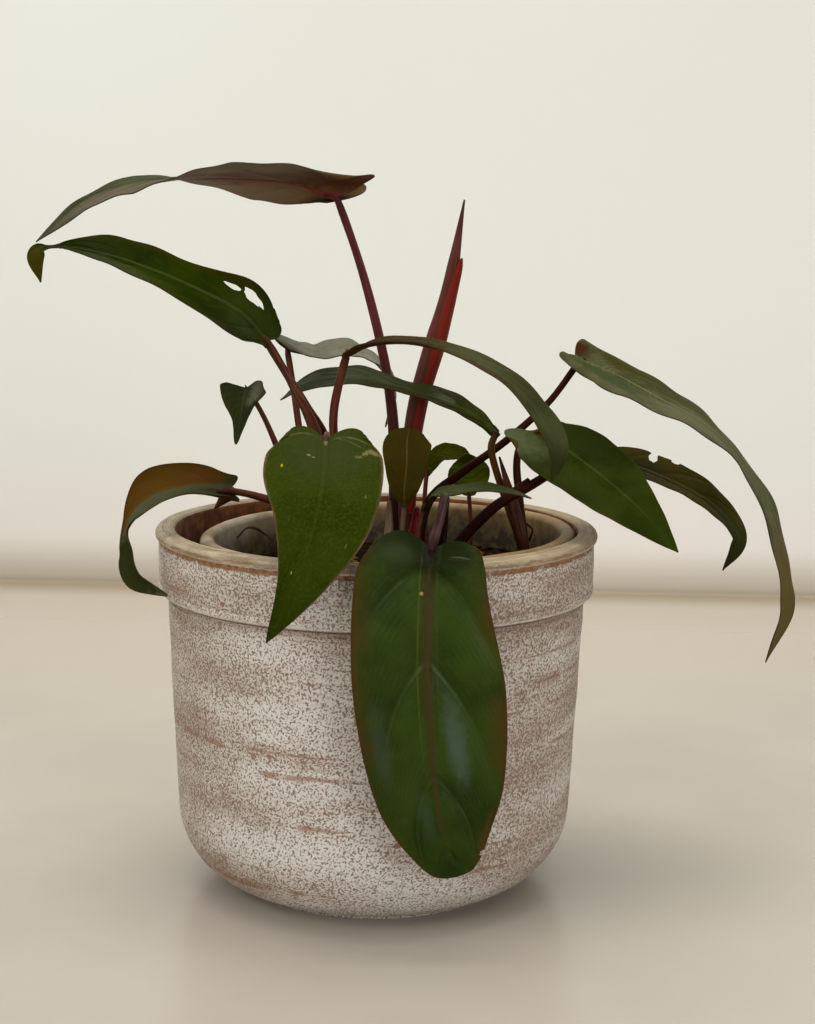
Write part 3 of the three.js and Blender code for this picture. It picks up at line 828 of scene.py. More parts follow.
@dataclass
class Blade:
    """One leaf blade: a fine sheet with quilting, a channelled midrib and torn places."""

    shape: LeafShape
    finishes: dict[str, bpy.types.Material]
    fine: tuple[int, int] = (56, 100)
    coarse: tuple[int, int] = (28, 44)
    thin: float = 0.5
    thick: float = 2.1
    seed: int = 0

    def relief(self, t: np.ndarray, v: np.ndarray) -> np.ndarray:
        """Height of the upper face's relief in millimetres: midrib, laterals and ripple."""
        shape, across = self.shape, np.abs(v)
        off = across * shape.widths(t, v)
        scale = min(float(np.max(shape.left)) / 25, 1)
        tip = np.clip((1 - t) * 5, 0, 1)
        rib = 0.45 * np.exp(-((off / 1.3) ** 2)) - 0.6 * np.exp(-(((off - 2.6) / 1.0) ** 2))
        rib *= scale * (1 - 0.75 * t) * tip
        phase = shape.laterals * (t - (0.15 + 0.25 * t) * across**SWEEP)
        nearest = np.abs(phase - np.floor(phase) - 0.5)
        fade = np.clip(across * 6, 0, 1) * np.clip((1 - across) * 2.2, 0, 1)
        quilt = -shape.quilt * scale * np.exp(-((nearest / 0.14) ** 2)) * fade
        quilt *= np.clip((0.9 - t) * 8, 0, 1)
        wave = np.sin(2 * np.pi * (t * 3.1 + 0.17 * self.seed) + np.sign(v) * 1.1)
        wave += 0.5 * np.sin(2 * np.pi * (t * 7.3 + 0.31 * self.seed))
        ripple = shape.ripple * wave * across**2 * np.clip(t * 6, 0, 1) * tip
        return rib + quilt + ripple

    def grid(self) -> bpy.types.Object:
        """Add the flat sheet whose x is the place across and whose y is the place along."""
        deselect()
        columns, rows = self.coarse if self.shape.small else self.fine
        bpy.ops.mesh.primitive_grid_add(x_subdivisions=columns, y_subdivisions=rows, size=2)
        return added("leaf_" + self.shape.name)

    def tear(self, piece: bpy.types.Object) -> None:
        """Delete the faces inside each torn place, and draw its edge to a ragged ring."""
        for number, hole in enumerate(self.shape.holes):
            v, t = laid_out(piece.data)
            width = float(self.shape.widths(np.full(1, hole.t), np.full(1, hole.v))[0])
            along, aside = (t - hole.t) * self.shape.length, (v - hole.v) * width
            turn = math.radians(hole.turn)
            a = (along * math.cos(turn) + aside * math.sin(turn)) / hole.length
            b = (aside * math.cos(turn) - along * math.sin(turn)) / hole.width
            angle = np.arctan2(b, a)
            ragged = 1 + 0.13 * np.sin(3 * angle + number) + 0.08 * np.sin(7 * angle + 2 * number)
            ring = np.hypot(a, b) / ragged
            bpy.ops.object.mode_set(mode="EDIT")
            bpy.ops.mesh.select_all(action="DESELECT")
            bpy.ops.mesh.select_mode(type="FACE")
            bpy.ops.object.mode_set(mode="OBJECT")
            inside, edge = set(), set()
            for face in piece.data.polygons:
                corners = list(face.vertices)
                if ring[corners].mean() < 1:
                    face.select = True
                    inside.update(corners)
                elif ring[corners].min() < 1.35:
                    edge.update(corners)
            for index in inside & edge:
                k = 1 / max(ring[index], 0.35)
                t_new = hole.t + (t[index] - hole.t) * k
                v_new = max(min(hole.v + (v[index] - hole.v) * k, 1.0), -1.0)
                x_new = -math.copysign(abs(v_new) ** (1 / CROWD), v_new)
                piece.data.vertices[index].co = (x_new, 1 - 2 * t_new, 0)
            bpy.ops.object.mode_set(mode="EDIT")
            bpy.ops.mesh.delete(type="FACE")
            bpy.ops.object.mode_set(mode="OBJECT")

    def bend(self, piece: bpy.types.Object) -> None:
        """Lay the flat sheet over the leaf's form, with its own map and rib weights."""
        mesh = piece.data
        v, t = laid_out(mesh)
        places = self.shape.at(t, v, self.relief(t, v)) * MM
        while mesh.uv_layers:
            mesh.uv_layers.remove(mesh.uv_layers[0])
        uv = mesh.uv_layers.new(name="blade")
        for loop in mesh.loops:
            uv.data[loop.index].uv = (v[loop.vertex_index] / 2 + 0.5, t[loop.vertex_index])
        # The sheet is thick along its midrib and thin at its edge
        group = piece.vertex_groups.new(name="rib")
        rib = np.exp(-((np.abs(v) * self.shape.widths(t, v) / 2.2) ** 2)) * (1 - t)
        share = self.thin / self.thick
        for index, weight in enumerate(share + (1 - share) * rib):
            group.add([index], float(weight), "REPLACE")
        mesh.vertices.foreach_set("co", places.ravel())
        mesh.update()

    def build(self) -> bpy.types.Object:
        """Build the blade and dress its two faces and its edge.

        Returns:
            The finished piece.
        """
        piece = self.grid()
        self.tear(piece)
        self.bend(piece)
        for side in (self.shape.upper, "under_" + self.shape.under, "edge"):
            piece.data.materials.append(self.finishes[side])
        apply_modifier(
            piece, "SOLIDIFY", thickness=self.thick * MM, offset=-1, vertex_group="rib",
            material_offset=Side.UNDER.value, material_offset_rim=Side.EDGE.value,
        )
        piece.vertex_groups.clear()
        smooth_shade(piece, 50)
        seat(piece, "leaf_" + self.shape.name)
        return piece


@dataclass
class Rod:
    """A stalk, sheath or root: a tube along a smooth path whose radius changes."""

    name: str
    path: Sequence[Point]
    radii: Sequence[float]
    finish: bpy.types.Material
    slot: str
    rings: int = 44
    sides: int = 5
    swell: float = 0.0
    wobble: float = 0.02
    spurs: tuple["Rod", ...] = ()

    def tube(self) -> bpy.types.Object:
        """Draw the path as a curve with round edges and turn it to a closed mesh.

        Returns:
            The dressed tube, not yet seated.
        """
        deselect()
        bpy.ops.curve.primitive_bezier_curve_add()
        piece = added(self.name)
        curve = piece.data
        curve.splines.clear()
        spline = curve.splines.new("POLY")
        spline.points.add(self.rings - 1)
        share = np.linspace(0, 1, self.rings)
        points = evenly(self.path, self.rings) * MM
        radii = straight(self.radii, share)
        radii = radii * (1 + self.swell * np.exp(-(((share - 0.93) / 0.05) ** 2)))
        radii = radii * (1 + self.wobble * np.sin(share * 23 + len(self.name)))
        for point, place, radius in zip(spline.points, points, radii):
            point.co = (*place, 1)
            point.radius = radius
        curve.dimensions = "3D"
        curve.twist_mode = "MINIMUM"
        curve.bevel_depth = MM
        curve.bevel_resolution = self.sides
        curve.use_fill_caps = True
        bpy.ops.object.convert(target="MESH")
        piece = bpy.context.object
        self.mark(piece.data)
        piece.data.materials.clear()
        piece.data.materials.append(self.finish)
        return piece

    def build(self) -> bpy.types.Object:
        """Build the tube, fuse its spurs to it and seat it.

        Returns:
            The finished piece.
        """
        piece, *others = [rod.tube() for rod in (self, *self.spurs)]
        if others:
            join(piece, others)
        smooth_shade(piece, 60)
        seat(piece, self.name)
        return piece

    def mark(self, mesh: bpy.types.Mesh) -> None:
        """Store how far along and around the stalk each vertex lies, and turn its faces outward."""
        around = len(mesh.vertices) // self.rings
        index = np.arange(len(mesh.vertices))
        for name, values in (("along", index // around / self.rings), ("around", index % around / around)):
            attribute = mesh.attributes.new(name, "FLOAT", "POINT")
            attribute.data.foreach_set("value", values.astype(np.float32))
        bpy.ops.object.mode_set(mode="EDIT")
        face_outward()


@dataclass
class TurnedPot:
    """A pot turned from a profile of radius and height, in millimetres."""

    name: str
    profile: list[tuple[float, float]]
    finish: bpy.types.Material
    segments: int = 180

    def build(self) -> bpy.types.Object:
        """Extrude a ring up the outside, over the rim and down the inside.

        Returns:
            The pot, standing upright on the origin.
        """
        deselect()
        radius, height = self.profile[0]
        bpy.ops.mesh.primitive_circle_add(
            vertices=self.segments, radius=radius * MM, fill_type="NGON", location=(0, 0, height * MM),
        )
        piece = added(self.name)
        settle(piece)
        bpy.ops.object.mode_set(mode="EDIT")
        bpy.ops.mesh.select_all(action="SELECT")
        bpy.ops.mesh.region_to_loop()
        for next_radius, next_height in self.profile[1:]:
            grow_ring((next_height - height) * MM, next_radius / radius, next_height * MM)
            radius, height = next_radius, next_height
        bpy.ops.mesh.edge_face_add()
        bpy.ops.mesh.select_all(action="SELECT")
        bpy.ops.mesh.remove_doubles(threshold=1e-6)
        face_outward()
        piece.data.materials.append(self.finish)
        return piece


def arc(centre: tuple[float, float], size: float, start: float, end: float, steps: int) -> list:
    """Points of an arc in a profile.

    Args:
        centre: Radius and height of the arc's middle.
        size: The arc's own radius.
        start: First angle in degrees.
        end: Last angle in degrees.
        steps: Number of stretches.

    Returns:
        Radius and height of each point.
    """
    angles = np.radians(np.linspace(start, end, steps + 1))
    return [(centre[0] + size * math.cos(a), centre[1] + size * math.sin(a)) for a in angles]


@dataclass
class OuterPot:
    """The speckled cachepot: rounded base, straight wall, collar and rolled lip."""

    lip_radius: float = 105
    height: float = 174
    lip_inner: float = 95.5
    collar: float = 103.5
    collar_bottom: float = 144
    shoulder: float = 99.5
    low: float = 94.6
    corner: float = 40
    foot: float = 62
    foot_height: float = 1.5
    wall: float = 6.5
    floor: float = 8

    def profile(self) -> list[tuple[float, float]]:
        """Radius and height from the underside up, over the lip and down the inside."""
        foot, base, top = self.foot, self.collar_bottom, self.height
        bend = (self.low - self.corner, self.foot_height + self.corner)
        inner_low, inner_corner = self.low - self.wall, self.corner - self.wall
        inner_bend = (inner_low - inner_corner, self.floor + inner_corner)
        rise = [bend[1] + k * 9 for k in range(1, 12) if bend[1] + k * 9 < base - 6]
        slope = (self.shoulder - self.low) / (base - 1 - bend[1])
        wall = [(self.low + (z - bend[1]) * slope + 0.18 * math.sin(z * 0.55), z) for z in rise]
        under = ((-1, 0), (-0.2, 0.3), (0, 1), (0, self.foot_height + 0.4))
        shoulder = ((-0.5, -4.2), (-0.1, -3.6), (-0.6, -3.0), (0, -1))
        collar = ((0.1, 3.2), (-0.5, 3.9), (-0.1, 4.6), (-0.1, 9), (0.1, 15))
        neck = ((0, 8), (-0.3, 7), (-0.9, 6.4), (-0.7, 5.2))
        return [
            *((foot + out, z) for out, z in under),
            *arc(bend, self.corner, -78, 0, 22),
            *wall,
            *((self.shoulder + out, base + z) for out, z in shoulder),
            *arc((self.collar - 1.6, base + 1.7), 1.7, -88, 0, 6),
            *((self.collar + out, base + z) for out, z in collar),
            *((self.collar + out, top - down) for out, down in neck),
            *arc((self.lip_radius - 2.6, top - 2.9), 2.6, -38, 88, 9),
            *((self.lip_radius - off, top - down) for off, down in ((4.2, 0.15), (4.9, 0.45), (5.6, 0.1))),
            *arc((self.lip_inner + 2.2, top - 2.2), 2.2, 84, 180, 6),
            *((self.lip_inner - off, top - down) for off, down in ((0.3, 14), (0.6, 30))),
            (inner_low, self.floor + inner_corner),
            *arc(inner_bend, inner_corner, 0, -88, 8)[1:],
            (20, self.floor),
        ]

    def line(self, piece: bpy.types.Object, clay: bpy.types.Material) -> None:
        """Give the faces of the pot's inside their bare clay."""
        piece.data.materials.append(clay)
        for face in piece.data.polygons:
            middle, normal = face.center, face.normal
            radius = math.hypot(middle.x, middle.y)
            inward = middle.x * normal.x + middle.y * normal.y < -0.7 * radius
            bottom = normal.z > 0 and middle.z < 0.05 and radius < self.low * MM
            if (inward or bottom) and middle.z < (self.height - 1.2) * MM:
                face.material_index = 1

    def build(self, finish: bpy.types.Material, clay: bpy.types.Material) -> bpy.types.Object:
        """Turn the pot and let its wall wander by a fraction of a millimetre, as thrown."""
        piece = TurnedPot("cachepot", self.profile(), finish).build()
        self.line(piece, clay)
        wander(piece, 0.004, ((16, 30, 0.0003), (60, 160, 0.00012)), (0.17, 30, 0.7, 0.00025))
        smooth_shade(piece, 50)
        seat(piece, "outer_pot")
        return piece


@dataclass
class InnerPot:
    """The cream pot with a broad soft rim, leaning a little to the left."""

    rim: float = 89
    rim_inner: float = 82
    rim_height: float = 14
    height: float = 162
    base: float = 58
    shoulder: float = 84
    wall: float = 3.5
    floor: float = 4
    centre: tuple[float, float] = (5, -1.5)
    tilt: float = 1.5
    stands_on: float = 8.3

    def profile(self) -> list[tuple[float, float]]:
        """Radius and height in the pot's own frame."""
        middle, half = (self.rim + self.rim_inner) / 2, (self.rim - self.rim_inner) / 2
        top, under = self.height, self.height - self.rim_height
        inner, foot = self.shoulder - self.wall, self.base - self.wall
        return [
            (self.base - 3, 0),
            (self.base - 0.9, 0.9),
            (self.base, 3),
            (self.shoulder - 1, under - 2),
            (self.rim - 1, under - 0.3),
            (self.rim - 0.2, under + 0.6),
            (self.rim, under + 2),
            *arc((middle, top - half), half, 0, 180, 14),
            (self.rim_inner - 0.5, top - 8),
            (inner - 0.4, under),
            (inner - 1, under - 6),
            (foot, self.floor + 3),
            (foot - 3, self.floor),
        ]

    def stand(self) -> Matrix:
        """Turn and shift from the pot's own frame to where it stands."""
        tilt = math.radians(self.tilt)
        drop = math.sin(tilt) * (self.base - 3)
        lean = math.sin(tilt) * self.height
        place = Vector((self.centre[0] + lean, self.centre[1], self.stands_on + drop)) * MM
        return Matrix.Translation(place) @ Matrix.Rotation(-tilt, 4, "Y")

    def build(self, finish: bpy.types.Material) -> bpy.types.Object:
        """Turn the pot, soften its rim unevenly and stand it in place."""
        piece = TurnedPot("cream_pot", self.profile(), finish, segments=140).build()
        wander(piece, 0.14, ((25, 40, 0.0005),), (0.14, 22, 3.1, 0.0006))
        piece.data.transform(self.stand())
        smooth_shade(piece, 50)
        seat(piece, "inner_pot")
        return piece

    def inside(self, height: float) -> float:
        """Radius of the wall's inside at a height in the pot's own frame."""
        low, high = self.floor + 3, self.height - self.rim_height - 6
        share = (height - low) / (high - low)
        return (self.base - self.wall) * (1 - share) + (self.shoulder - self.wall - 1) * share


@dataclass
class Soil:
    """Potting soil: a lumpy mound with crumbs, bark and dry litter fused into it."""

    pot: InnerPot
    finishes: dict[str, bpy.types.Material]
    top: float = 142
    mound: float = 3
    waist: float = 60
    foot: float = 50
    gap: float = 0.3
    sides: int = 110
    rings: int = 46
    crumbs: int = 420
    seed: int = 7

    def height(self, x: float, y: float) -> float:
        """Height of the mound in the pot's own frame, in millimetres."""
        edge = self.pot.inside(self.top) - self.gap
        share = min(math.hypot(x, y) / edge, 1)
        lumps = noise.noise(Vector((x, y, 1.3)) * 0.11) * 1.6 + noise.noise(Vector((x, y, 4)) * 0.3) * 0.9
        return self.top + self.mound * (1 - share**2) + lumps * (1 - share**6)

    def mound_mesh(self) -> bpy.types.Object:
        """Grow a disc to a closed body with a lumpy top."""
        edge = self.pot.inside(self.top) - self.gap
        deselect()
        bpy.ops.mesh.primitive_circle_add(vertices=self.sides, radius=edge * MM, fill_type="NGON")
        piece = added("soil_bed")
        bpy.ops.object.mode_set(mode="EDIT")
        bpy.ops.mesh.select_all(action="SELECT")
        for _ in range(self.rings):
            bpy.ops.mesh.inset(thickness=edge * MM / (self.rings + 1), use_even_offset=False)
        bpy.ops.mesh.select_all(action="SELECT")
        bpy.ops.mesh.region_to_loop()
        # Two rings below the top, first at marked depths and then at their own heights
        for radius in (self.pot.inside(self.waist) - self.gap, self.foot):
            grow_ring(-0.04, radius / edge)
            edge = radius
        bpy.ops.mesh.edge_face_add()
        face_outward()
        levels = {-0.08: self.pot.floor + self.gap, -0.04: self.waist}
        for vertex in piece.data.vertices:
            x, y, z = vertex.co
            low = levels.get(round(z, 3))
            vertex.co.z = (low if low is not None else self.height(x / MM, y / MM)) * MM
        piece.data.materials.append(self.finishes["soil"])
        return piece

    def crumb(self, draw: random.Random, number: int) -> bpy.types.Object:
        """Add one crumb, chip or flake on the mound.

        Args:
            draw: The seeded source of sizes and places.
            number: Which crumb it is, which picks its kind.

        Returns:
            The crumb's own mesh object.
        """
        edge = self.pot.inside(self.top) - 4
        radius, angle = edge * math.sqrt(draw.random()), draw.uniform(0, 2 * math.pi)
        x, y = radius * math.cos(angle), radius * math.sin(angle)
        kind = "soil" if number % 4 else "bark"
        size = draw.uniform(0.7, 2.3)
        flat = draw.uniform(0.5, 0.95)
        if number % 9 == 0:
            kind, size, flat = "litter", draw.uniform(2.2, 5.0), 0.16
        bpy.ops.mesh.primitive_ico_sphere_add(subdivisions=1 if size < 1.5 else 2, radius=size * MM)
        piece = added(f"crumb_{number}")
        for vertex in piece.data.vertices:
            vertex.co *= 1 + 0.45 * noise.noise(vertex.co * 700 + Vector((number, 0, 0)))
        stretch = Matrix.Diagonal((draw.uniform(0.8, 1.6), draw.uniform(0.6, 1.0), flat, 1))
        turn = Matrix.Rotation(draw.uniform(0, 6.28), 4, "Z")
        turn @= Matrix.Rotation(draw.uniform(-0.5, 0.5), 4, "X")
        rest = Vector((x, y, self.height(x, y) + size * flat * 0.35)) * MM
        piece.data.transform(Matrix.Translation(rest) @ turn @ stretch)
        piece.data.materials.append(self.finishes[kind])
        return piece

    def build(self) -> bpy.types.Object:
        """Fuse the mound and its crumbs to one piece that stands for the soil."""
        bed = self.mound_mesh()
        draw = random.Random(self.seed)
        join(bed, [self.crumb(draw, number) for number in range(self.crumbs)])
        bed.data.transform(self.pot.stand())
        smooth_shade(bed, 35)
        seat(bed, "potting_soil")
        return bed


def stands(*points: Point) -> tuple[Point, ...]:
    """A stalk's path, carried straight down from its first point into the soil."""
    x, y, _ = points[0]
    return ((x, y, SOIL_FOOT), *points)


LEAVES = (
    LeafShape(
        "high_left",
        spine=((-21, 20, 328), (-40, 20, 334), (-66, 22, 336), (-92, 24, 336.5), (-118, 24, 334.5),
               (-143, 20, 325), (-163, 14, 305.5)), left=(4, 28, 35, 27, 14, 6, 0.6),
        right=(22, 32, 34, 28, 24, 20, 0.6),
        face=((0, 0.28, 0.96), (0, 0.22, 0.97), (0, -0.22, 0.97), (-0.3, -0.3, 0.9)), lobe=(13, 15),
        rise=(11, 14), fold=(-4, -4), curl=(0, 8), corner=0.1, lobe_power=0.8, cut=0.03, rise_power=(0.6, 1),
        droop=(2, 0), stalk=((8, 30, 160), (8, 33, 200), (6, 34, 228), (1, 33, 256), (-9, 28, 294)),
        stalk_radius=(3.4, 1.8), upper="dusky", under="taupe",
    ),
    LeafShape(
        "long_left",
        spine=((-52, -12, 262), (-63, -18, 275), (-82, -26, 286), (-105, -34, 296), (-124, -39, 302),
               (-143, -43, 305), (-151, -45, 302), (-149.5, -47, 289)),
        left=(24, 26, 17.5, 19.5, 15, 2, 6, 0.6), right=(5, 22.5, 21.5, 15.5, 7, 1, 5, 0.6),
        face=((0.5, -0.5, 0.7), (0.25, -0.42, 0.88), (0, -0.4, 0.9), (-0.7, -0.6, 0.4)), lobe=(6, 2),
        fold=(6, 4), holes=(Hole(0.122, 0.62, 4.6, 3.6, 30), Hole(0.186, 0.63, 3.6, 2.2, 20)),
        stalk=((-20, 4, 160), (-19, 3, 186), (-24, -1, 214), (-33, -5, 230), (-42, -8, 245)),
        stalk_radius=(2.3, 1.9), ripple=0.5,
    ),
    LeafShape(
        "small_left", small=True,
        spine=((-60.5, -17, 240.3), (-62, -20, 234), (-63, -24, 226), (-65, -26, 215)),
        left=(13.5, 10, 4, 0.6), right=(13.5, 9, 4, 0.6), face=((-0.1, -0.9, 0.3), (-0.2, -0.9, 0.2)),
        lobe=(0, 3), rise=(0, 2), fold=(16, 28),
        stalk=((-34, -4, 160), (-38, -7, 186), (-46, -9, 209), (-53, -11, 226)), stalk_radius=(2.6, 1.1),
        upper="folded", ripple=0.2,
    ),
    LeafShape(
        "low_left",
        spine=((-68, -30, 194), (-85, -36, 196), (-101, -42, 192), (-112.7, -46, 179.7), (-111.5, -49, 168),
               (-108.5, -50, 156), (-94, -48, 148)), left=(10, 11.5, 13, 1.5, 4.6, 4.6, 0.6),
        right=(4, 3, 5, 1, 3, 4.2, 0.6),
        face=((0, -0.6, 0.8), (-0.2, -0.6, 0.75), (-0.8, -0.5, 0.3), (-0.6, -0.8, -0.2)), lobe=(4, 6),
        rise=(2, -3), fold=(20, 0), curl=(60, 0),
        stalk=((-31, -16, 160), (-33, -17, 172), (-42, -20, 185), (-56, -25, 191)), stalk_radius=(2.8, 1.6),
        upper="halves", under="amber", ripple=0.3,
    ),
    LeafShape(
        "front_left",
        spine=((-22, -56, 222), (-22, -84, 208), (-25, -105, 190), (-32, -115, 168), (-44, -118, 143)),
        left=(24, 26, 17, 8, 0.6), right=(24, 26, 23, 12, 0.6),
        face=((0, -0.55, 0.83), (0, -0.8, 0.6), (-0.05, -1, 0.15)), lobe=(9, 8), fold=(4, 4), curl=(0, -8),
        stalk=((-25, -22, 160), (-25, -24, 186), (-23, -33, 212), (-22, -44, 222)), stalk_radius=(2.6, 1.3),
        upper="heart", ripple=0.3, quilt=0.12, laterals=6,
    ),
    LeafShape(
        "front_middle",
        spine=((25, -107, 182), (24, -113, 163), (24, -119, 122), (28, -120, 79), (33, -119, 52),
               (35, -118, 41)), left=(28, 32, 31.5, 26, 14.5, 6), right=(23, 25, 33, 29, 16.5, 8),
        face=((0, -0.95, 0.3), (0, -1, 0.05), (0, -1, -0.05)), lobe=(7, 4), fold=(4, 4), curl=(-6, -6),
        holes=(Hole(0.82, -1, 2.2, 1.6, 0),),
        stalk=((30, -32, 160), (31, -46, 186), (31, -64, 197), (29, -86, 193)), stalk_radius=(2.4, 2),
        upper="glossy", under="shade", ripple=0.3, quilt=1.7, laterals=4.4, corner=0.1,
    ),
    LeafShape(
        "arching",
        spine=((-14, -20, 257), (-3, -23, 262), (15, -27, 263.2), (36, -32, 258.5), (58.3, -39.8, 247.7),
               (73.2, -47.7, 232.3), (81, -54.5, 218), (79, -56, 203)),
        left=(6, 11, 14, 15, 15, 12.5, 8, 0.6), right=(6, 11, 14.4, 14, 15.3, 12.8, 8, 0.6),
        face=((0.01, 0.03, 0.99), (0.11, 0.02, 0.99), (0.42, -0.09, 0.88), (0.82, -0.58, 0.1)), fold=(-1, 5),
        curl=(10, 10), stalk=((-14, -8, 160), (-17, -9, 186), (-20, -11, 213), (-20, -13, 232)),
        stalk_radius=(2.6, 1.9), upper="arch", under="brown", ripple=0.3,
    ),
    LeafShape(
        "back_left",
        spine=((-46, 48, 254), (-31, 52, 251), (-14, 58, 252), (0, 64, 244), (6, 70, 228), (3, 74, 212)),
        left=(9, 13, 14, 11, 6, 0.6), right=(9, 13, 14, 11, 6, 0.6),
        face=((0, -0.2, 0.97), (0.3, -0.15, 0.95), (0.9, -0.4, 0.1)), lobe=(9, 7), rise=(5, 5), fold=(8, 8),
        stalk=((-31, 17, 160), (-35, 23, 190), (-39, 33, 215), (-43, 42, 238)), stalk_radius=(2.1, 1.5),
        upper="cloudy",
    ),
    LeafShape(
        "middle",
        spine=((56, 2, 218), (44, 4, 227), (28, 4, 234), (8, 4, 240), (-12, 5, 244), (-33, 8, 241),
               (-47, 12, 232)), left=(3, 7.5, 12, 8, 13, 10, 0.6), right=(1.2, 3.2, 5.5, 4.5, 10.5, 9.5, 0.6),
        face=((-0.3, -0.4, 0.85), (0, -0.32, 0.95), (0, -0.3, 0.95)), fold=(3, 3),
        stalk=((70, 6, 160), (63, 5, 182), (57, 4, 199), (54, 3, 211)), stalk_radius=(2.3, 1.6),
        upper="middle", ripple=0.5,
    ),
    LeafShape(
        "long_right",
        spine=((96, 12, 252), (114.3, 5.9, 245.4), (133.4, -1.2, 235.8), (153.2, -6.9, 225.2),
               (170.1, -11, 208.4), (184.3, -15.6, 184.9), (191.9, -17.4, 158.3), (193.8, -17.5, 136.9),
               (185.5, -16, 112.5)), left=(15, 24.5, 26.5, 26, 22, 18, 14, 11.5, 0.6),
        right=(13, 21, 21, 20, 17, 14, 11.5, 10, 0.6),
        face=((0.13, -0.15, 0.96), (0.35, -0.29, 0.9), (0.51, -0.16, 0.85), (0.75, -0.16, 0.63),
              (0.86, -0.27, 0.43), (0.89, -0.46, 0.09), (0.9, -0.49, -0.25)), lobe=(10, 6), rise=(3, 9),
        fold=(1, 3), stalk=((20, 8, 160), (25, 10, 184), (40, 14, 197), (62, 17, 213), (82, 16, 232)),
        stalk_radius=(2.6, 1.5), upper="grey", under="taupe", ripple=0.8, lobe_power=0.7, cut=0.03,
        rise_power=(0.6, 1.8), droop=(3, 0),
    ),
    LeafShape(
        "right_middle",
        spine=((77, -2, 220), (90, -16, 212), (105, -32, 202), (120, -46, 190), (136, -58, 173)),
        left=(20, 22.5, 20.5, 14.5, 0.6), right=(12, 18, 17, 10, 0.6),
        face=((0, -0.6, 0.8), (0, -0.62, 0.78)), lobe=(14, 6), rise=(-3, 0), fold=(5, 5),
        stalk=((72, 20, 160), (69, 18, 184), (67, 14, 202), (69, 7, 213)), stalk_radius=(2.3, 1.7),
        upper="tipped", ripple=0.3, quilt=0.15,
    ),
    LeafShape(
        "right_torn",
        spine=((107, 15, 205), (127, 20, 200), (148, 24, 191), (166, 26, 180), (177, 26, 165),
               (170, 23, 149)), left=(10, 12, 11, 10, 8, 0.6), right=(10, 20, 21, 16, 11, 0.6),
        face=((0.2, -0.2, 0.95), (0.5, -0.35, 0.8), (0.9, -0.4, 0.1)), lobe=(4, 4), fold=(4, 4),
        holes=(Hole(0.29, -0.85, 1.8, 8, 15), Hole(0.385, -1, 1.8, 2.6, 10)),
        stalk=((34, -14, 160), (53, -18, 184), (71, -14, 195), (86, 0, 201)), stalk_radius=(3.2, 1.8),
        upper="torn", under="brown", ripple=0.3, laterals=5,
    ),
    LeafShape(
        "small_centre", small=True,
        spine=((13, -24, 187), (13, -23, 195), (14, -21, 206), (14, -18, 216), (15, -15, 222)),
        left=(2, 7, 10.5, 11, 5), right=(2, 7, 9.5, 11.5, 6), face=((0, 1, 0.1), (0, 0.95, -0.3)),
        lobe=(0, 0), curl=(10, 10), stalk=((12, -26, 160), (12, -26, 172)), stalk_radius=(1.4, 1.1),
        upper="narrow", ripple=0.3,
    ),
    LeafShape(
        "back_centre", small=True,
        spine=((24, 42, 194), (29, 44, 201.5), (36, 46, 203.5), (43, 48, 201), (49, 50, 195)),
        left=(3, 5, 5.5, 4, 0.6), right=(3, 5, 5.5, 4, 0.6), face=((-0.3, -0.6, 0.7), (0.3, -0.6, 0.7)),
        stalk=((24, 34, 160), (23, 37, 178)), stalk_radius=(1.4, 1.1), upper="narrow", ripple=0.3,
    ),
    LeafShape(
        "back_right", small=True, spine=((45, 40, 183), (45, 39, 191), (44, 37, 198), (43, 35, 204)),
        left=(3, 10, 9, 1), right=(3, 10, 9, 1), face=((0, -1, 0.1), (0, -0.95, 0.3)), lobe=(1, 1),
        stalk=((46, 36, 160), (46, 38, 171)), stalk_radius=(1.2, 1), upper="bright", ripple=0.3,
    ),
    LeafShape(
        "narrow_front", small=True,
        spine=((22, -34, 188), (27, -38, 195), (36, -42, 197), (50, -44, 199), (62, -43, 197),
               (71, -41, 194)), left=(3, 5, 6, 5, 4, 0.6), right=(3, 5, 6, 5, 4, 0.6),
        face=((0, -0.35, 0.9), (0, -0.15, 0.98)), lobe=(1, 1), stalk=((18, -37, 160), (19, -36, 174)),
        stalk_radius=(1.4, 1.1), upper="slim", ripple=0.2,
    ),
)

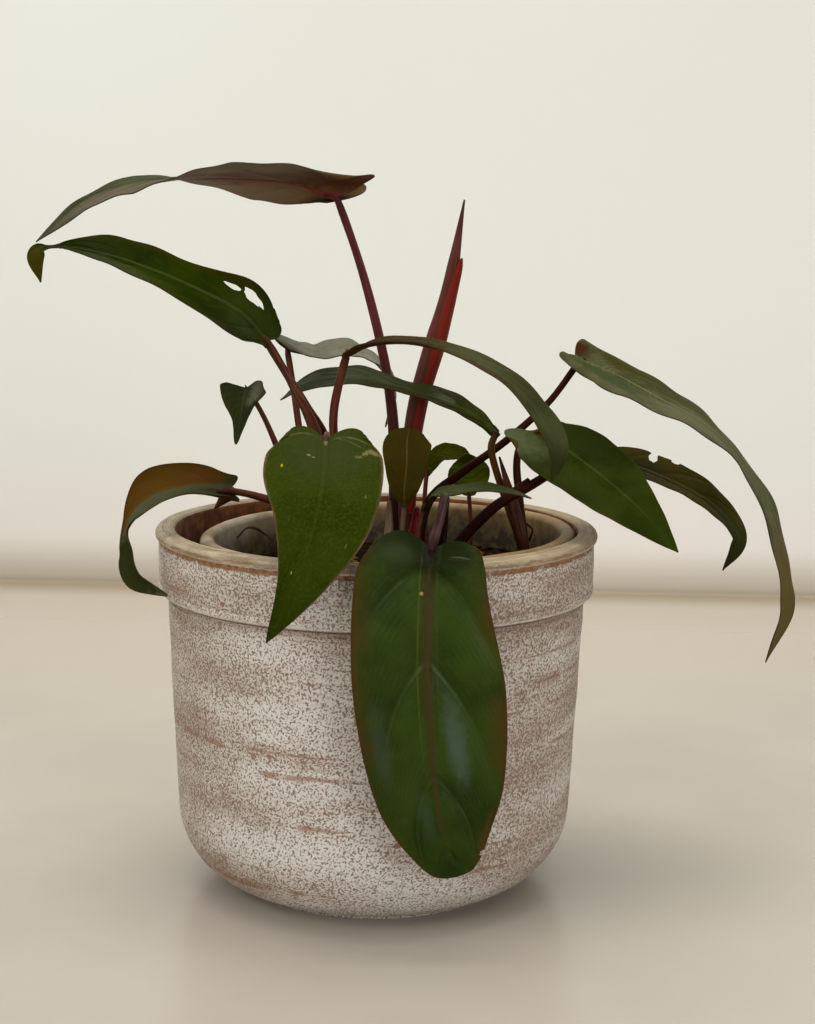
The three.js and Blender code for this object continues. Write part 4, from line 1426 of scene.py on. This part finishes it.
UPPER_FINISHES = {
    "deep": BladeFinish(
        "waxy_deep_green_blade", "161f00", "232f00", "45492a", "2a260e", gloss=0.01, mottle=0.35, marks=(
            # The first mark is a painted sheen near the tip of the right half
            Mark(-0.7, 0.62, 0.6, 0.3, "40452a", 0.55), Mark(0, 0.05, 1, 0.2, "333a14", 0.5),
            Mark(0, 0.96, 1.5, 0.2, "3e380a", 1, 0.4),
        ),
    ),
    "glossy": BladeFinish(
        "waxy_glossy_green_blade", "212f06", "30400e", "3c3216", "46280e", gloss=0.08, laterals=4.4,
        # The pale lateral lines (vein) are partly a painted highlight on the quilted ridges beside the veins
        vein="56664c", vein_share=0.45, vein_width=0.04, fine_share=0.06, rib_share=0.8, rib_width=0.1,
        flush_share=0.8, mottle=0.35, marks=(
            # The mark at the stalk end (t 0) is painted shade over the blade's upper end
            Mark(0, 0.95, 1.5, 0.3, "1c2a04", 0.85, 0.9), Mark(0, 0, 1.5, 0.24, "151c02", 0.95, 0.8),
            Mark(0.13, 0.3, 0.02, 0.32, "465012", 0.5), Mark(-0.13, 0.3, 0.02, 0.3, "3c4612", 0.3),
            # The next three marks are painted sheen, grey-blue patches between the laterals
            Mark(-0.34, 0.5, 0.24, 0.11, "4a5a4e", 0.65, 0.9, slant=-0.25),
            Mark(0.72, 0.5, 0.2, 0.12, "3a4636", 0.5, 0.9), Mark(0.25, 0.66, 0.22, 0.1, "35452e", 0.6, 0.9),
            Mark(0.5, 0.07, 0.4, 0.06, "333e26", 0.6, 0.9),
            Mark(0.1, 0.195, 0.03, 0.006, "9a8450", 0.9, 0.4, 0.6, lump=1.2),
            Mark(-0.54, 0.066, 0.3, 0.008, "2a2414"), Mark(-0.54, 0.058, 0.28, 0.004, "55583a", 0.6),
            Mark(-0.9, 0.75, 0.08, 0.12, "4a300f", 0.7), Mark(0.95, 0.3, 0.06, 0.2, "43330f", 0.6),
        ),
    ),
    "heart": BladeFinish(
        "waxy_fresh_green_blade", "222c00", "3a450e", "444a22", "6a5040", roughness=0.5, gloss=0.01,
        laterals=6, vein_share=0.05, fine_share=0.08, rib_share=0.16, rib_width=0.04, flush_share=0.1,
        patch=0.35, mottle=0.55, relief=0.2, marks=(
            # The first mark greys the upper end, partly as a painted sheen
            Mark(0, 0.1, 1.2, 0.26, "373c1e", 0.7, 0.9), Mark(0, 0.85, 1.5, 0.1, "2c3a06", 0.4, 0.8),
            Mark(-0.86, 0.105, 0.13, 0.02, "746844", 0.8, 0.6, 1, -0.05, 1.3),
            Mark(-0.72, 0.115, 0.1, 0.014, "7c6e4a", 0.75, 0.6, 1, 0.1, 1.1),
            Mark(-0.58, 0.137, 0.08, 0.01, "706644", 0.6, 0.6, 1, 0, 1.1),
            Mark(-0.5, 0.045, 0.5, 0.007, "625f3c", 0.6, 0.9, 0.6, -0.05),
            Mark(-0.5, 0.07, 0.45, 0.005, "5c5938", 0.5, 0.9, 0.6, -0.12),
            Mark(0.45, 0.03, 0.45, 0.006, "5a5836", 0.6, 0.9, 0.6, 0.03),
            Mark(0, 0.03, 0.05, 0.03, "746c48", 0.7),
            Mark(0.28, 0.125, 0.04, 0.008, "8c7e52", 0.8, 0.6, 0.9, lump=1.2),
            Mark(0.2, 0.135, 0.03, 0.006, "887a50", 0.7, 0.6, 0.9, lump=1.2),
            Mark(0.7, 0.195, 0.022, 0.01, "a8901c", 0.9, 0.3, 0.1),
            Mark(0.36, 0.715, 0.03, 0.008, "a89038", 0.9, 0.3, 0.1),
            Mark(-0.75, 0.33, 0.02, 0.012, "60664a", 0.6, 0.5, 0.8),
            Mark(-0.72, 0.55, 0.015, 0.012, "60664a", 0.5, 0.5, 0.8),
        ),
    ),
    "tipped": BladeFinish(
        "waxy_green_tipped_blade", "1b2402", "2a3208", "4c5228", "3a3214", roughness=0.45, gloss=0.012,
        laterals=9, vein_share=0.05, fine_share=0.06, rib_share=0.3, rib_width=0.03, flush_share=0.1,
        mottle=0.4, relief=0.2, marks=(
            # The first two marks are painted sheen, grey on the left lobe by the stalk
            Mark(0.6, 0, 0.7, 0.3, "4f5538", 0.8, 0.8), Mark(0.9, 0.02, 0.3, 0.1, "72765c", 0.6, 0.8),
            Mark(0, 1, 1.6, 0.3, "2b370b", 0.7, 0.9), Mark(-0.5, 0.3, 0.6, 0.25, "1d260b", 0.5, 0.8),
        ),
    ),
    "torn": BladeFinish(
        "waxy_olive_green_blade", "242402", "322c08", "4c4628", "2e240e", roughness=0.45, gloss=0.01,
        laterals=5, vein_share=0.12, marks=(
            Mark(-0.8, 0.3, 0.5, 0.16, "3a2e08", 0.7), Mark(0.7, 0.35, 0.6, 0.4, "4a4020", 0.7),
            Mark(0, 0.85, 1.2, 0.22, "343818", 0.7), Mark(0, 0, 1.2, 0.2, "1d2409", 0.7),
        ),
    ),
    "halves": BladeFinish(
        "waxy_grey_green_and_amber_blade", "46472e", "505038", "544a2c", roughness=0.5, vein_share=0.03,
        relief=0.2, marks=(
            Mark(1, 0.26, 0.98, 0.34, "583d10", 1, 0.12, 0), Mark(0.5, 0.12, 0.4, 0.08, "5c3a18", 0.7),
            Mark(0, 0.76, 2, 0.22, "2a3010", 0.9, 0.3), Mark(0.8, 0, 0.8, 0.07, "2c3a16", 0.9),
        ),
    ),
    "middle": BladeFinish(
        "waxy_shaded_green_blade", "21260b", "2b3010", "3a3c1c", "2c220e", rib_share=0.1, vein_share=0.06,
        marks=(
            # The three grey marks on the left half are painted sheen
            Mark(0.3, 0.62, 0.8, 0.16, "3a4028", 0.6), Mark(0.4, 0.9, 0.6, 0.16, "464c34", 0.7),
            Mark(0, 0.1, 1.4, 0.2, "2f3604", 0.9), Mark(0.3, 0.3, 0.3, 0.06, "4a5038", 0.6),
            Mark(-0.7, 0.45, 0.5, 0.12, "302c08"),
        ),
    ),
    "dusky": BladeFinish(
        "waxy_dusky_green_blade", "2a301a", "3b4126", "50482e", roughness=0.48, vein_share=0.1, marks=(
            Mark(0.5, 0.1, 0.8, 0.5, "4e543c", 0.6), Mark(-0.6, 0.75, 0.6, 0.3, "5c5040", 0.7),
            Mark(-0.6, 0, 0.7, 0.16, "4a3018", 0.9),
        ),
    ),
    "folded": BladeFinish(
        "waxy_folded_green_blade", "262c14", "363c20", "4a442a", "33280f", roughness=0.48, vein_share=0.1,
        marks=(
            # The first mark is a painted sheen, grey on the right half
            Mark(-0.5, 0.2, 0.5, 0.35, "666852", 0.7, 0.8), Mark(0.5, 0.5, 0.5, 0.4, "2c3210", 0.6),
        ),
    ),
    # The long right blade's grey is partly a painted sheen of the bright room
    "grey": BladeFinish(
        "bloomed_grey_green_blade", "363c1c", "4e4e34", "6c684c", "42301e", roughness=0.5, gloss=0.02,
        laterals=6, rib_share=0.6, rib_width=0.04, vein="7a7458", vein_share=0.14, fine_share=0.3, mottle=0.4,
        marks=(
            Mark(0.35, 0.12, 0.4, 0.1, "303a1a"), Mark(-0.7, 0.2, 0.5, 0.3, "383a1c", 0.7),
            Mark(0.3, 0.35, 0.5, 0.16, "5c5a40", 0.5), Mark(0, 0.85, 1.6, 0.26, "605228", 0.9),
            Mark(-0.35, 0, 0.3, 0.06, "3c2210", 0.95, 0.7), Mark(-0.5, 0.12, 0.4, 0.1, "3a3408", 0.7, 0.8),
        ),
    ),
    "cloudy": BladeFinish(
        "pale_bloomed_blade", "6a6858", "7d7a6a", "6e6c5c", "5c5846", roughness=0.6, rib_share=0.2,
        vein_share=0.06, flush_share=0, marks=(
            Mark(0, 0.98, 1.6, 0.2, "4a4c38"),
        ),
    ),
    "narrow": BladeFinish(
        "waxy_dark_olive_blade", "293100", "363b02", "484a20", rib_share=0.15, fine_share=0.04, gloss=0.01,
    ),
    # Painted light: the small back leaf is painted bright, where it faces away from the lamps
    "bright": BladeFinish(
        "thin_bright_olive_blade", "56660c", "6a7a18", "70722c", "3a340e", rib_share=0.15, fine_share=0.04,
        marks=(
            Mark(0, 0.9, 1.4, 0.3, "2c3208", 0.7),
        ),
    ),
    "slim": BladeFinish(
        "bloomed_narrow_blade", "343c16", "4a502e", "50502c", rib_share=0.15, fine_share=0.04,
    ),
    "arch": BladeFinish(
        "waxy_arching_blade", "2e3216", "3e4226", "56522e", "4a3a22", roughness=0.5, gloss=0.015,
        rib_share=0.15, vein_share=0.1, flush_share=0.2, marks=(
            Mark(0, 0.12, 1.6, 0.36, "35240a", 1, 0.5), Mark(0.7, 0.3, 0.9, 0.45, "38260a", 1, 0.5),
            Mark(0.95, 0.65, 0.3, 0.25, "45380f"),
        ),
    ),
}
STALK_SKINS = {
    "front_middle": "violet", "high_left": "red", "long_right": "purple", "right_torn": "purple",
    "right_middle": "brown", "middle": "brown", "small_centre": "tan", "low_left": "maroon",
}
# Path and radii of each stub that branches from a petiole
SPURS = {
    "low_left": (
        (((-65.5, -26, 194), (-68.5, -26, 191.5), (-71.5, -26.5, 188.5), (-75, -27, 184.6)),
         (2.4, 3.2, 1.8, 0.2)),
    ),
    "right_torn": ((((65, -15, 192.5), (69, -14.5, 196.2), (71.2, -14.2, 199)), (2.6, 2.2, 0.8)),),
}
UNDER_FINISHES = {
    "olive": UnderFinish("matt_olive_underside", "3a3100", "443902", "6a5634", 0.5),
    "brown": UnderFinish("matt_brown_underside", "442c14", "4e3c16", "5c3a24", 0.4),
    "taupe": UnderFinish("matt_taupe_underside", "573f24", "6a5234", "7c2c2e", 0.9, marks=(
        Mark(-0.5, 0, 0.7, 0.22, "4a2814", 0.85), Mark(-0.3, 0.28, 0.35, 0.3, "50301a", 0.8),
        Mark(-0.9, 0.3, 0.4, 0.25, "6c6250", 0.6), Mark(0.6, 0.3, 0.5, 0.25, "766044", 0.7),
        Mark(0.5, 0, 0.5, 0.14, "7e6846", 0.8, 0.8),
    )),
    "shade": UnderFinish("matt_shaded_underside", "1e220a", "282c0e", "30280f"),
    "amber": UnderFinish("matt_amber_underside", "4e3810", "614214", "6a4a20"),
}
STALK_FINISHES = {
    "edge": StalkFinish("thin_olive_brown_blade_edge", "30240f", "42301a", "3a2a16"),
    "maroon": StalkFinish("maroon_petiole_skin", "3e1a12", "6e3628", "421e14", "643e22"),
    "red": StalkFinish("bright_maroon_petiole_skin", "471e1c", "6e3030", "3a1c16", "5a2a24"),
    "purple": StalkFinish("near_black_petiole_skin", "240e08", "3c1b14", "1e120d", "44241a", gloss=0.02),
    "brown": StalkFinish("brown_petiole_skin", "42200f", "653a1c", "34180c", "604218"),
    "violet": StalkFinish("violet_grey_petiole_skin", "231212", "3d2726", "2b1414", "523c3a", gloss=0.02),
    "tan": StalkFinish("pale_tan_petiole_skin", "5e4a30", "7c684c", "4c3820"),
    "spike": StalkFinish("rolled_leaf_outer_skin", "4a2019", "6c3128", "5e2a2a", "5c3a30"),
    "flap": StalkFinish("rolled_leaf_bright_edge", "842812", "a44220", "6a1e18", "90301a", 0.45, 0.05),
    "sheath": StalkFinish("reddish_brown_sheath", "3c1a14", "64301f", "3c1c16", "5e4022", 0.5),
    "crimson": StalkFinish("crimson_sheath", "5e0f14", "861c20", "4a1212"),
    "pale": StalkFinish("dry_tan_sheath", "6a5844", "94806a", "5a4a3a", roughness=0.7),
    "root": StalkFinish("thin_dark_root", "2a1c10", "56402a", "2a1c10", roughness=0.7, gloss=0.03),
}
# Name, path above the soil, radii, finish, slot and further sizes
RODS = (
    ("new_leaf",
     ((14, 22, 160), (14, 23, 190), (17, 23, 222), (24, 22, 252), (33, 20, 285), (39.8, 18, 327.5)),
     (3.6, 3.6, 3.8, 4.2, 4.2, 3, 0.4), "spike", "new_leaf", {"rings": 80, "sides": 8}),
    ("sheath_left",
     ((-27, -2, 160), (-26, -6, 190), (-28, -9, 214), (-33, -12, 229), (-41, -15, 243), (-45, -16, 252)),
     (2.2, 2.2, 2.4, 2.8, 3, 2, 0.3), "sheath", "sheath", {}),
    ("sheath_right", ((71, -2, 160), (66, -2, 182), (61.4, -2, 196), (57.8, -2, 207.5)),
     (2.4, 2.5, 2.6, 2.2, 0.5), "sheath", "sheath", {}),
    ("sheath_red", ((17, -5, 160), (18, -7, 172), (19, -9, 184)),
     (3.6, 3.6, 3.4, 1.2), "crimson", "red_sheath", {}),
    ("sheath_pale", ((5, -16, 160), (6, -17, 174), (6, -18, 188)),
     (2.6, 2.6, 2.4, 1), "pale", "pale_sheath", {}),
    ("root_left", ((-50, 22, 158), (-56, 24, 165), (-63, 22, 168), (-68, 16, 164)),
     (0.8, 0.8, 0.7, 0.6, 0.4), "root", "root", {"wobble": 0.12}),
    ("root_right", ((73, 26, 158), (75, 25, 164), (76, 25, 168), (73, 26, 171)),
     (0.9, 0.9, 0.8, 0.7, 0.4), "root", "root", {"wobble": 0.12}),
)


@dataclass
class Plant:
    """The philodendron: its blades, stalks, new leaf, sheaths and roots."""

    finishes: dict[str, bpy.types.Material] = field(default_factory=dict)

    def mix_finishes(self) -> None:
        """Make each living surface's material once."""
        under = {"under_" + key: finish for key, finish in UNDER_FINISHES.items()}
        for key, finish in {**UPPER_FINISHES, **under, **STALK_FINISHES}.items():
            self.finishes[key] = finish.material()

    def build_leaves(self) -> None:
        """Build each blade and its petiole."""
        for number, shape in enumerate(LEAVES):
            report(Blade(shape, self.finishes, seed=number).build())
            skin = self.finishes[STALK_SKINS.get(shape.name, "maroon")]
            # The petiole runs on a little way inside the blade
            inward = shape.at(np.array([0.02, 0.05]), np.zeros(2), np.array([-0.9, -0.8]))
            foot, end = shape.stalk_radius
            radii = [foot + (end - foot) * k / 9 for k in range(10)] + [end * 0.6]
            spurs = tuple(
                Rod("spur_" + shape.name, path, sizes, skin, "petiole", rings=14)
                for path, sizes in SPURS.get(shape.name, ())
            )
            path = [*stands(*shape.stalk, shape.spine[0]), *inward]
            Rod("petiole_" + shape.name, path, radii, skin, "petiole", swell=0.12, spurs=spurs).build()

    def build_rods(self) -> None:
        """Build the new leaf's spike, the sheaths and the roots."""
        for name, path, radii, finish, slot, sizes in RODS:
            report(Rod(name, stands(*path), radii, self.finishes[finish], slot, **sizes).build())

    def build_flap(self) -> None:
        """Wrap the new leaf's free edge around the front of its spike."""
        shape = LeafShape(
            "flap", small=True,
            spine=((17, 18.5, 176), (18, 19, 205), (22, 18.8, 232), (30, 17.3, 262), (39, 15.8, 300)),
            left=(3.2, 4.2, 5.2, 6.4, 3.6), right=(3, 3.6, 3.8, 3.4, 1.5),
            face=((0.5, -1, 0), (0.6, -1, 0.1)),
            lobe=(0, 0), fold=(-8, -8), curl=(-50, -50), ripple=0.1,
        )
        blade = Blade(shape, self.finishes, thick=0.9)
        piece = blade.grid()
        blade.bend(piece)
        piece.name = piece.data.name = "new_leaf_flap_skin"
        piece.data.materials.append(self.finishes["flap"])
        apply_modifier(piece, "SOLIDIFY", thickness=0.8 * MM, offset=-1)
        piece.vertex_groups.clear()
        smooth_shade(piece, 50)
        seat(piece, "new_leaf_flap")
        report(piece)

    def build(self) -> None:
        """Build the whole plant."""
        self.mix_finishes()
        self.build_leaves()
        self.build_rods()
        self.build_flap()


@dataclass
class Studio:
    """Pale wall and floor in one sweep, soft lights and the camera."""

    wall: float = 707
    bend: float = 3
    turn: float = -2.2
    hinge: float = -0.35
    reach: float = 6000
    high: float = 2600
    camera: Point = (14.6, -900, 326.9)
    down: float = 9.26
    roll: float = 0.69
    lens: float = 67.22

    def sweep(self) -> None:
        """Extrude the backdrop from the floor round its bend and up the wall."""
        deselect()
        bpy.ops.mesh.primitive_plane_add(size=2 * self.reach * MM)
        piece = added("backdrop")
        bpy.ops.object.mode_set(mode="OBJECT")
        # The far edge is drawn to the foot of the wall and grows on from there
        for vertex in piece.data.vertices:
            vertex.select = vertex.co.y > 0
            if vertex.select:
                vertex.co.y = (self.wall - self.bend) * MM
        for edge in piece.data.edges:
            edge.select = all(piece.data.vertices[k].select for k in edge.vertices)
        for face in piece.data.polygons:
            face.select = False
        bpy.ops.object.mode_set(mode="EDIT")
        bpy.ops.mesh.select_mode(type="EDGE")
        # The corner in steps of 15 degrees, then the wall
        last = (self.wall - self.bend, 0.0)
        turns = [math.radians(k * 15) for k in range(1, 7)]
        corner = [
            (self.wall - self.bend + self.bend * math.sin(a), self.bend * (1 - math.cos(a))) for a in turns
        ]
        for y, z in [*corner, (self.wall, self.high)]:
            step = {"value": (0, (y - last[0]) * MM, (z - last[1]) * MM)}
            bpy.ops.mesh.extrude_edges_move(TRANSFORM_OT_translate=step)
            last = (y, z)
        face_outward()
        if max(face.normal.z for face in piece.data.polygons) < 0.9:
            piece.data.flip_normals()
        hinge = Matrix.Translation(Vector((self.hinge, self.wall * MM, 0)))
        piece.data.transform(hinge @ Matrix.Rotation(math.radians(self.turn), 4, "Z") @ hinge.inverted())
        smooth_shade(piece, 60)
        piece.data.materials.append(self.surface())

    def surface(self) -> bpy.types.Material:
        """Pale satin floor that turns to a slightly greener matt wall."""
        n = Nodes("pale_satin_floor_and_wall")
        x, y, z = n.axes(n.place())
        wall = n.step(z, 0, 0.003)
        floor = n.blend(n.patch(140, 3, 0.3, 0.7), "b0a69b", "b6ada1")
        floor = n.blend(n.step(y, 0.15, 0.6), floor, "b8aea1")
        # Painted shade along the foot of the wall fades up the wall and out over the floor
        slope = n.times(n.plus(x, -self.hinge), 0.0384)
        gap = n.minus(self.wall * MM, n.plus(y, slope))
        floor = n.blend(n.fall(gap, 0, 0.06, 0.8), floor, "94856c")
        pale = n.blend(n.step(z, 0.03, 0.16), "eae5df", "e6e8e1")
        # Higher up, the wall is painted a little darker to the right, as painted shade
        pale = n.blend(n.step(z, 0.2, 0.6), pale, n.blend(n.step(x, -0.3, 0), "e4e6e3", "dddfd9"))
        # Painted shade of the same seam on the lowest part of the wall
        pale = n.blend(n.fall(z, 0, 0.046, 0.7), pale, "a0927a")
        pale = n.blend(n.fall(z, 0.002, 0.008, 0.4), pale, "94866f")
        gloss = n.step(gap, 0.02, 0.16, 0.8, 0.24)
        finished = n.finish(n.blend(wall, floor, pale), gloss, IOR=1.45)
        # Seen from behind the wall is clear, so that it never hides the plant's back
        behind = n.times(n.add("NewGeometry", out="Backfacing"), wall)
        output = next(node for node in n.tree.nodes if node.type == "OUTPUT_MATERIAL")
        shade = output.inputs["Surface"].links[0].from_socket
        mixed = n.add("MixShader", {0: behind, 1: shade, 2: n.add("BsdfTransparent")})
        n.tree.links.new(mixed, output.inputs["Surface"])
        return finished

    def light(self, name: str, place: Point, aim: Point, size: float, power: float, colour: str) -> None:
        """Add one soft square light.

        Args:
            name: The light's name.
            place: Where it hangs, in metres.
            aim: The point it faces, in metres.
            size: Its side in metres.
            power: Its power in watts.
            colour: Its colour as hex.
        """
        data = bpy.data.lights.new(name, "AREA")
        data.shape, data.size, data.energy = "SQUARE", size, power
        data.color = linear(colour)[:3]
        lamp = linked(name, data)
        lamp.location = place
        lamp.rotation_euler = (Vector(aim) - Vector(place)).to_track_quat("-Z", "Y").to_euler()

    def lights(self) -> None:
        """Hang a broad light above, a window on the left and a fill in front."""
        self.light("above", (-0.1, 0.0, 1.9), (0, 0.1, 0.1), 1.8, 12, "fffdf8")
        self.light("window", (-1.3, -1.5, 1.2), (0, 0, 0.15), 1.2, 13, "fefdfb")
        self.light("sheen", (0.85, -1.5, 0.5), (0, 0, 0.15), 0.55, 7, "f4f6fc")
        self.light("wall_wash", (0, 0.0, 1.75), (0, 0.7, 0.55), 0.9, 10, "fffdf4")
        world = bpy.data.worlds.new("soft_room")
        world.use_nodes = True
        tree = world.node_tree
        sky = tree.nodes["Background"]
        split = tree.nodes.new("ShaderNodeSeparateXYZ")
        ramp = tree.nodes.new("ShaderNodeValToRGB")
        look = tree.nodes.new("ShaderNodeTexCoord")
        tree.links.new(look.outputs["Generated"], split.inputs[0])
        tree.links.new(split.outputs[2], ramp.inputs[0])
        tree.links.new(ramp.outputs[0], sky.inputs["Color"])
        for element, (place, tone) in zip(ramp.color_ramp.elements, ((0.0, "8a8882"), (0.8, "f4f4ee"))):
            element.position, element.color = place, linear(tone)
        sky.inputs["Strength"].default_value = 0.8
        bpy.context.scene.world = world

    def look(self) -> None:
        """Place the camera at the photograph's angle."""
        data = bpy.data.cameras.new("camera")
        data.lens, data.sensor_width = self.lens, 36
        data.clip_start, data.clip_end = 0.05, 30
        camera = linked("camera", data)
        turn = Matrix.Rotation(math.radians(90 - self.down), 4, "X")
        roll = Matrix.Rotation(math.radians(self.roll), 4, "Z")
        camera.matrix_world = Matrix.Translation(Vector(self.camera) * MM) @ turn @ roll
        bpy.context.scene.camera = camera
        bpy.context.scene.view_settings.view_transform = "Standard"

    def build(self) -> None:
        """Set the stage, the lights and the camera."""
        self.sweep()
        self.lights()
        self.look()


def main() -> None:
    """Build every piece in order and report it."""
    logging.basicConfig(level=logging.INFO, format="%(message)s")
    Studio().build()
    report(OuterPot().build(GlazeFinish().material(), BareClayFinish().material()))
    pot = InnerPot()
    report(pot.build(CreamFinish().material()))
    earth = {
        "soil": CrumbFinish("damp_peat_soil", "120a05", "2a1a0e").material(),
        "bark": CrumbFinish("bark_chip", "2e1a0e", "4c3018", 1.5).material(),
        "litter": CrumbFinish("dry_leaf_litter", "4e3c14", "7e6230", 3.0).material(),
    }
    report(Soil(pot, earth).build())
    Plant().build()


if __name__ == "__main__":
    main()
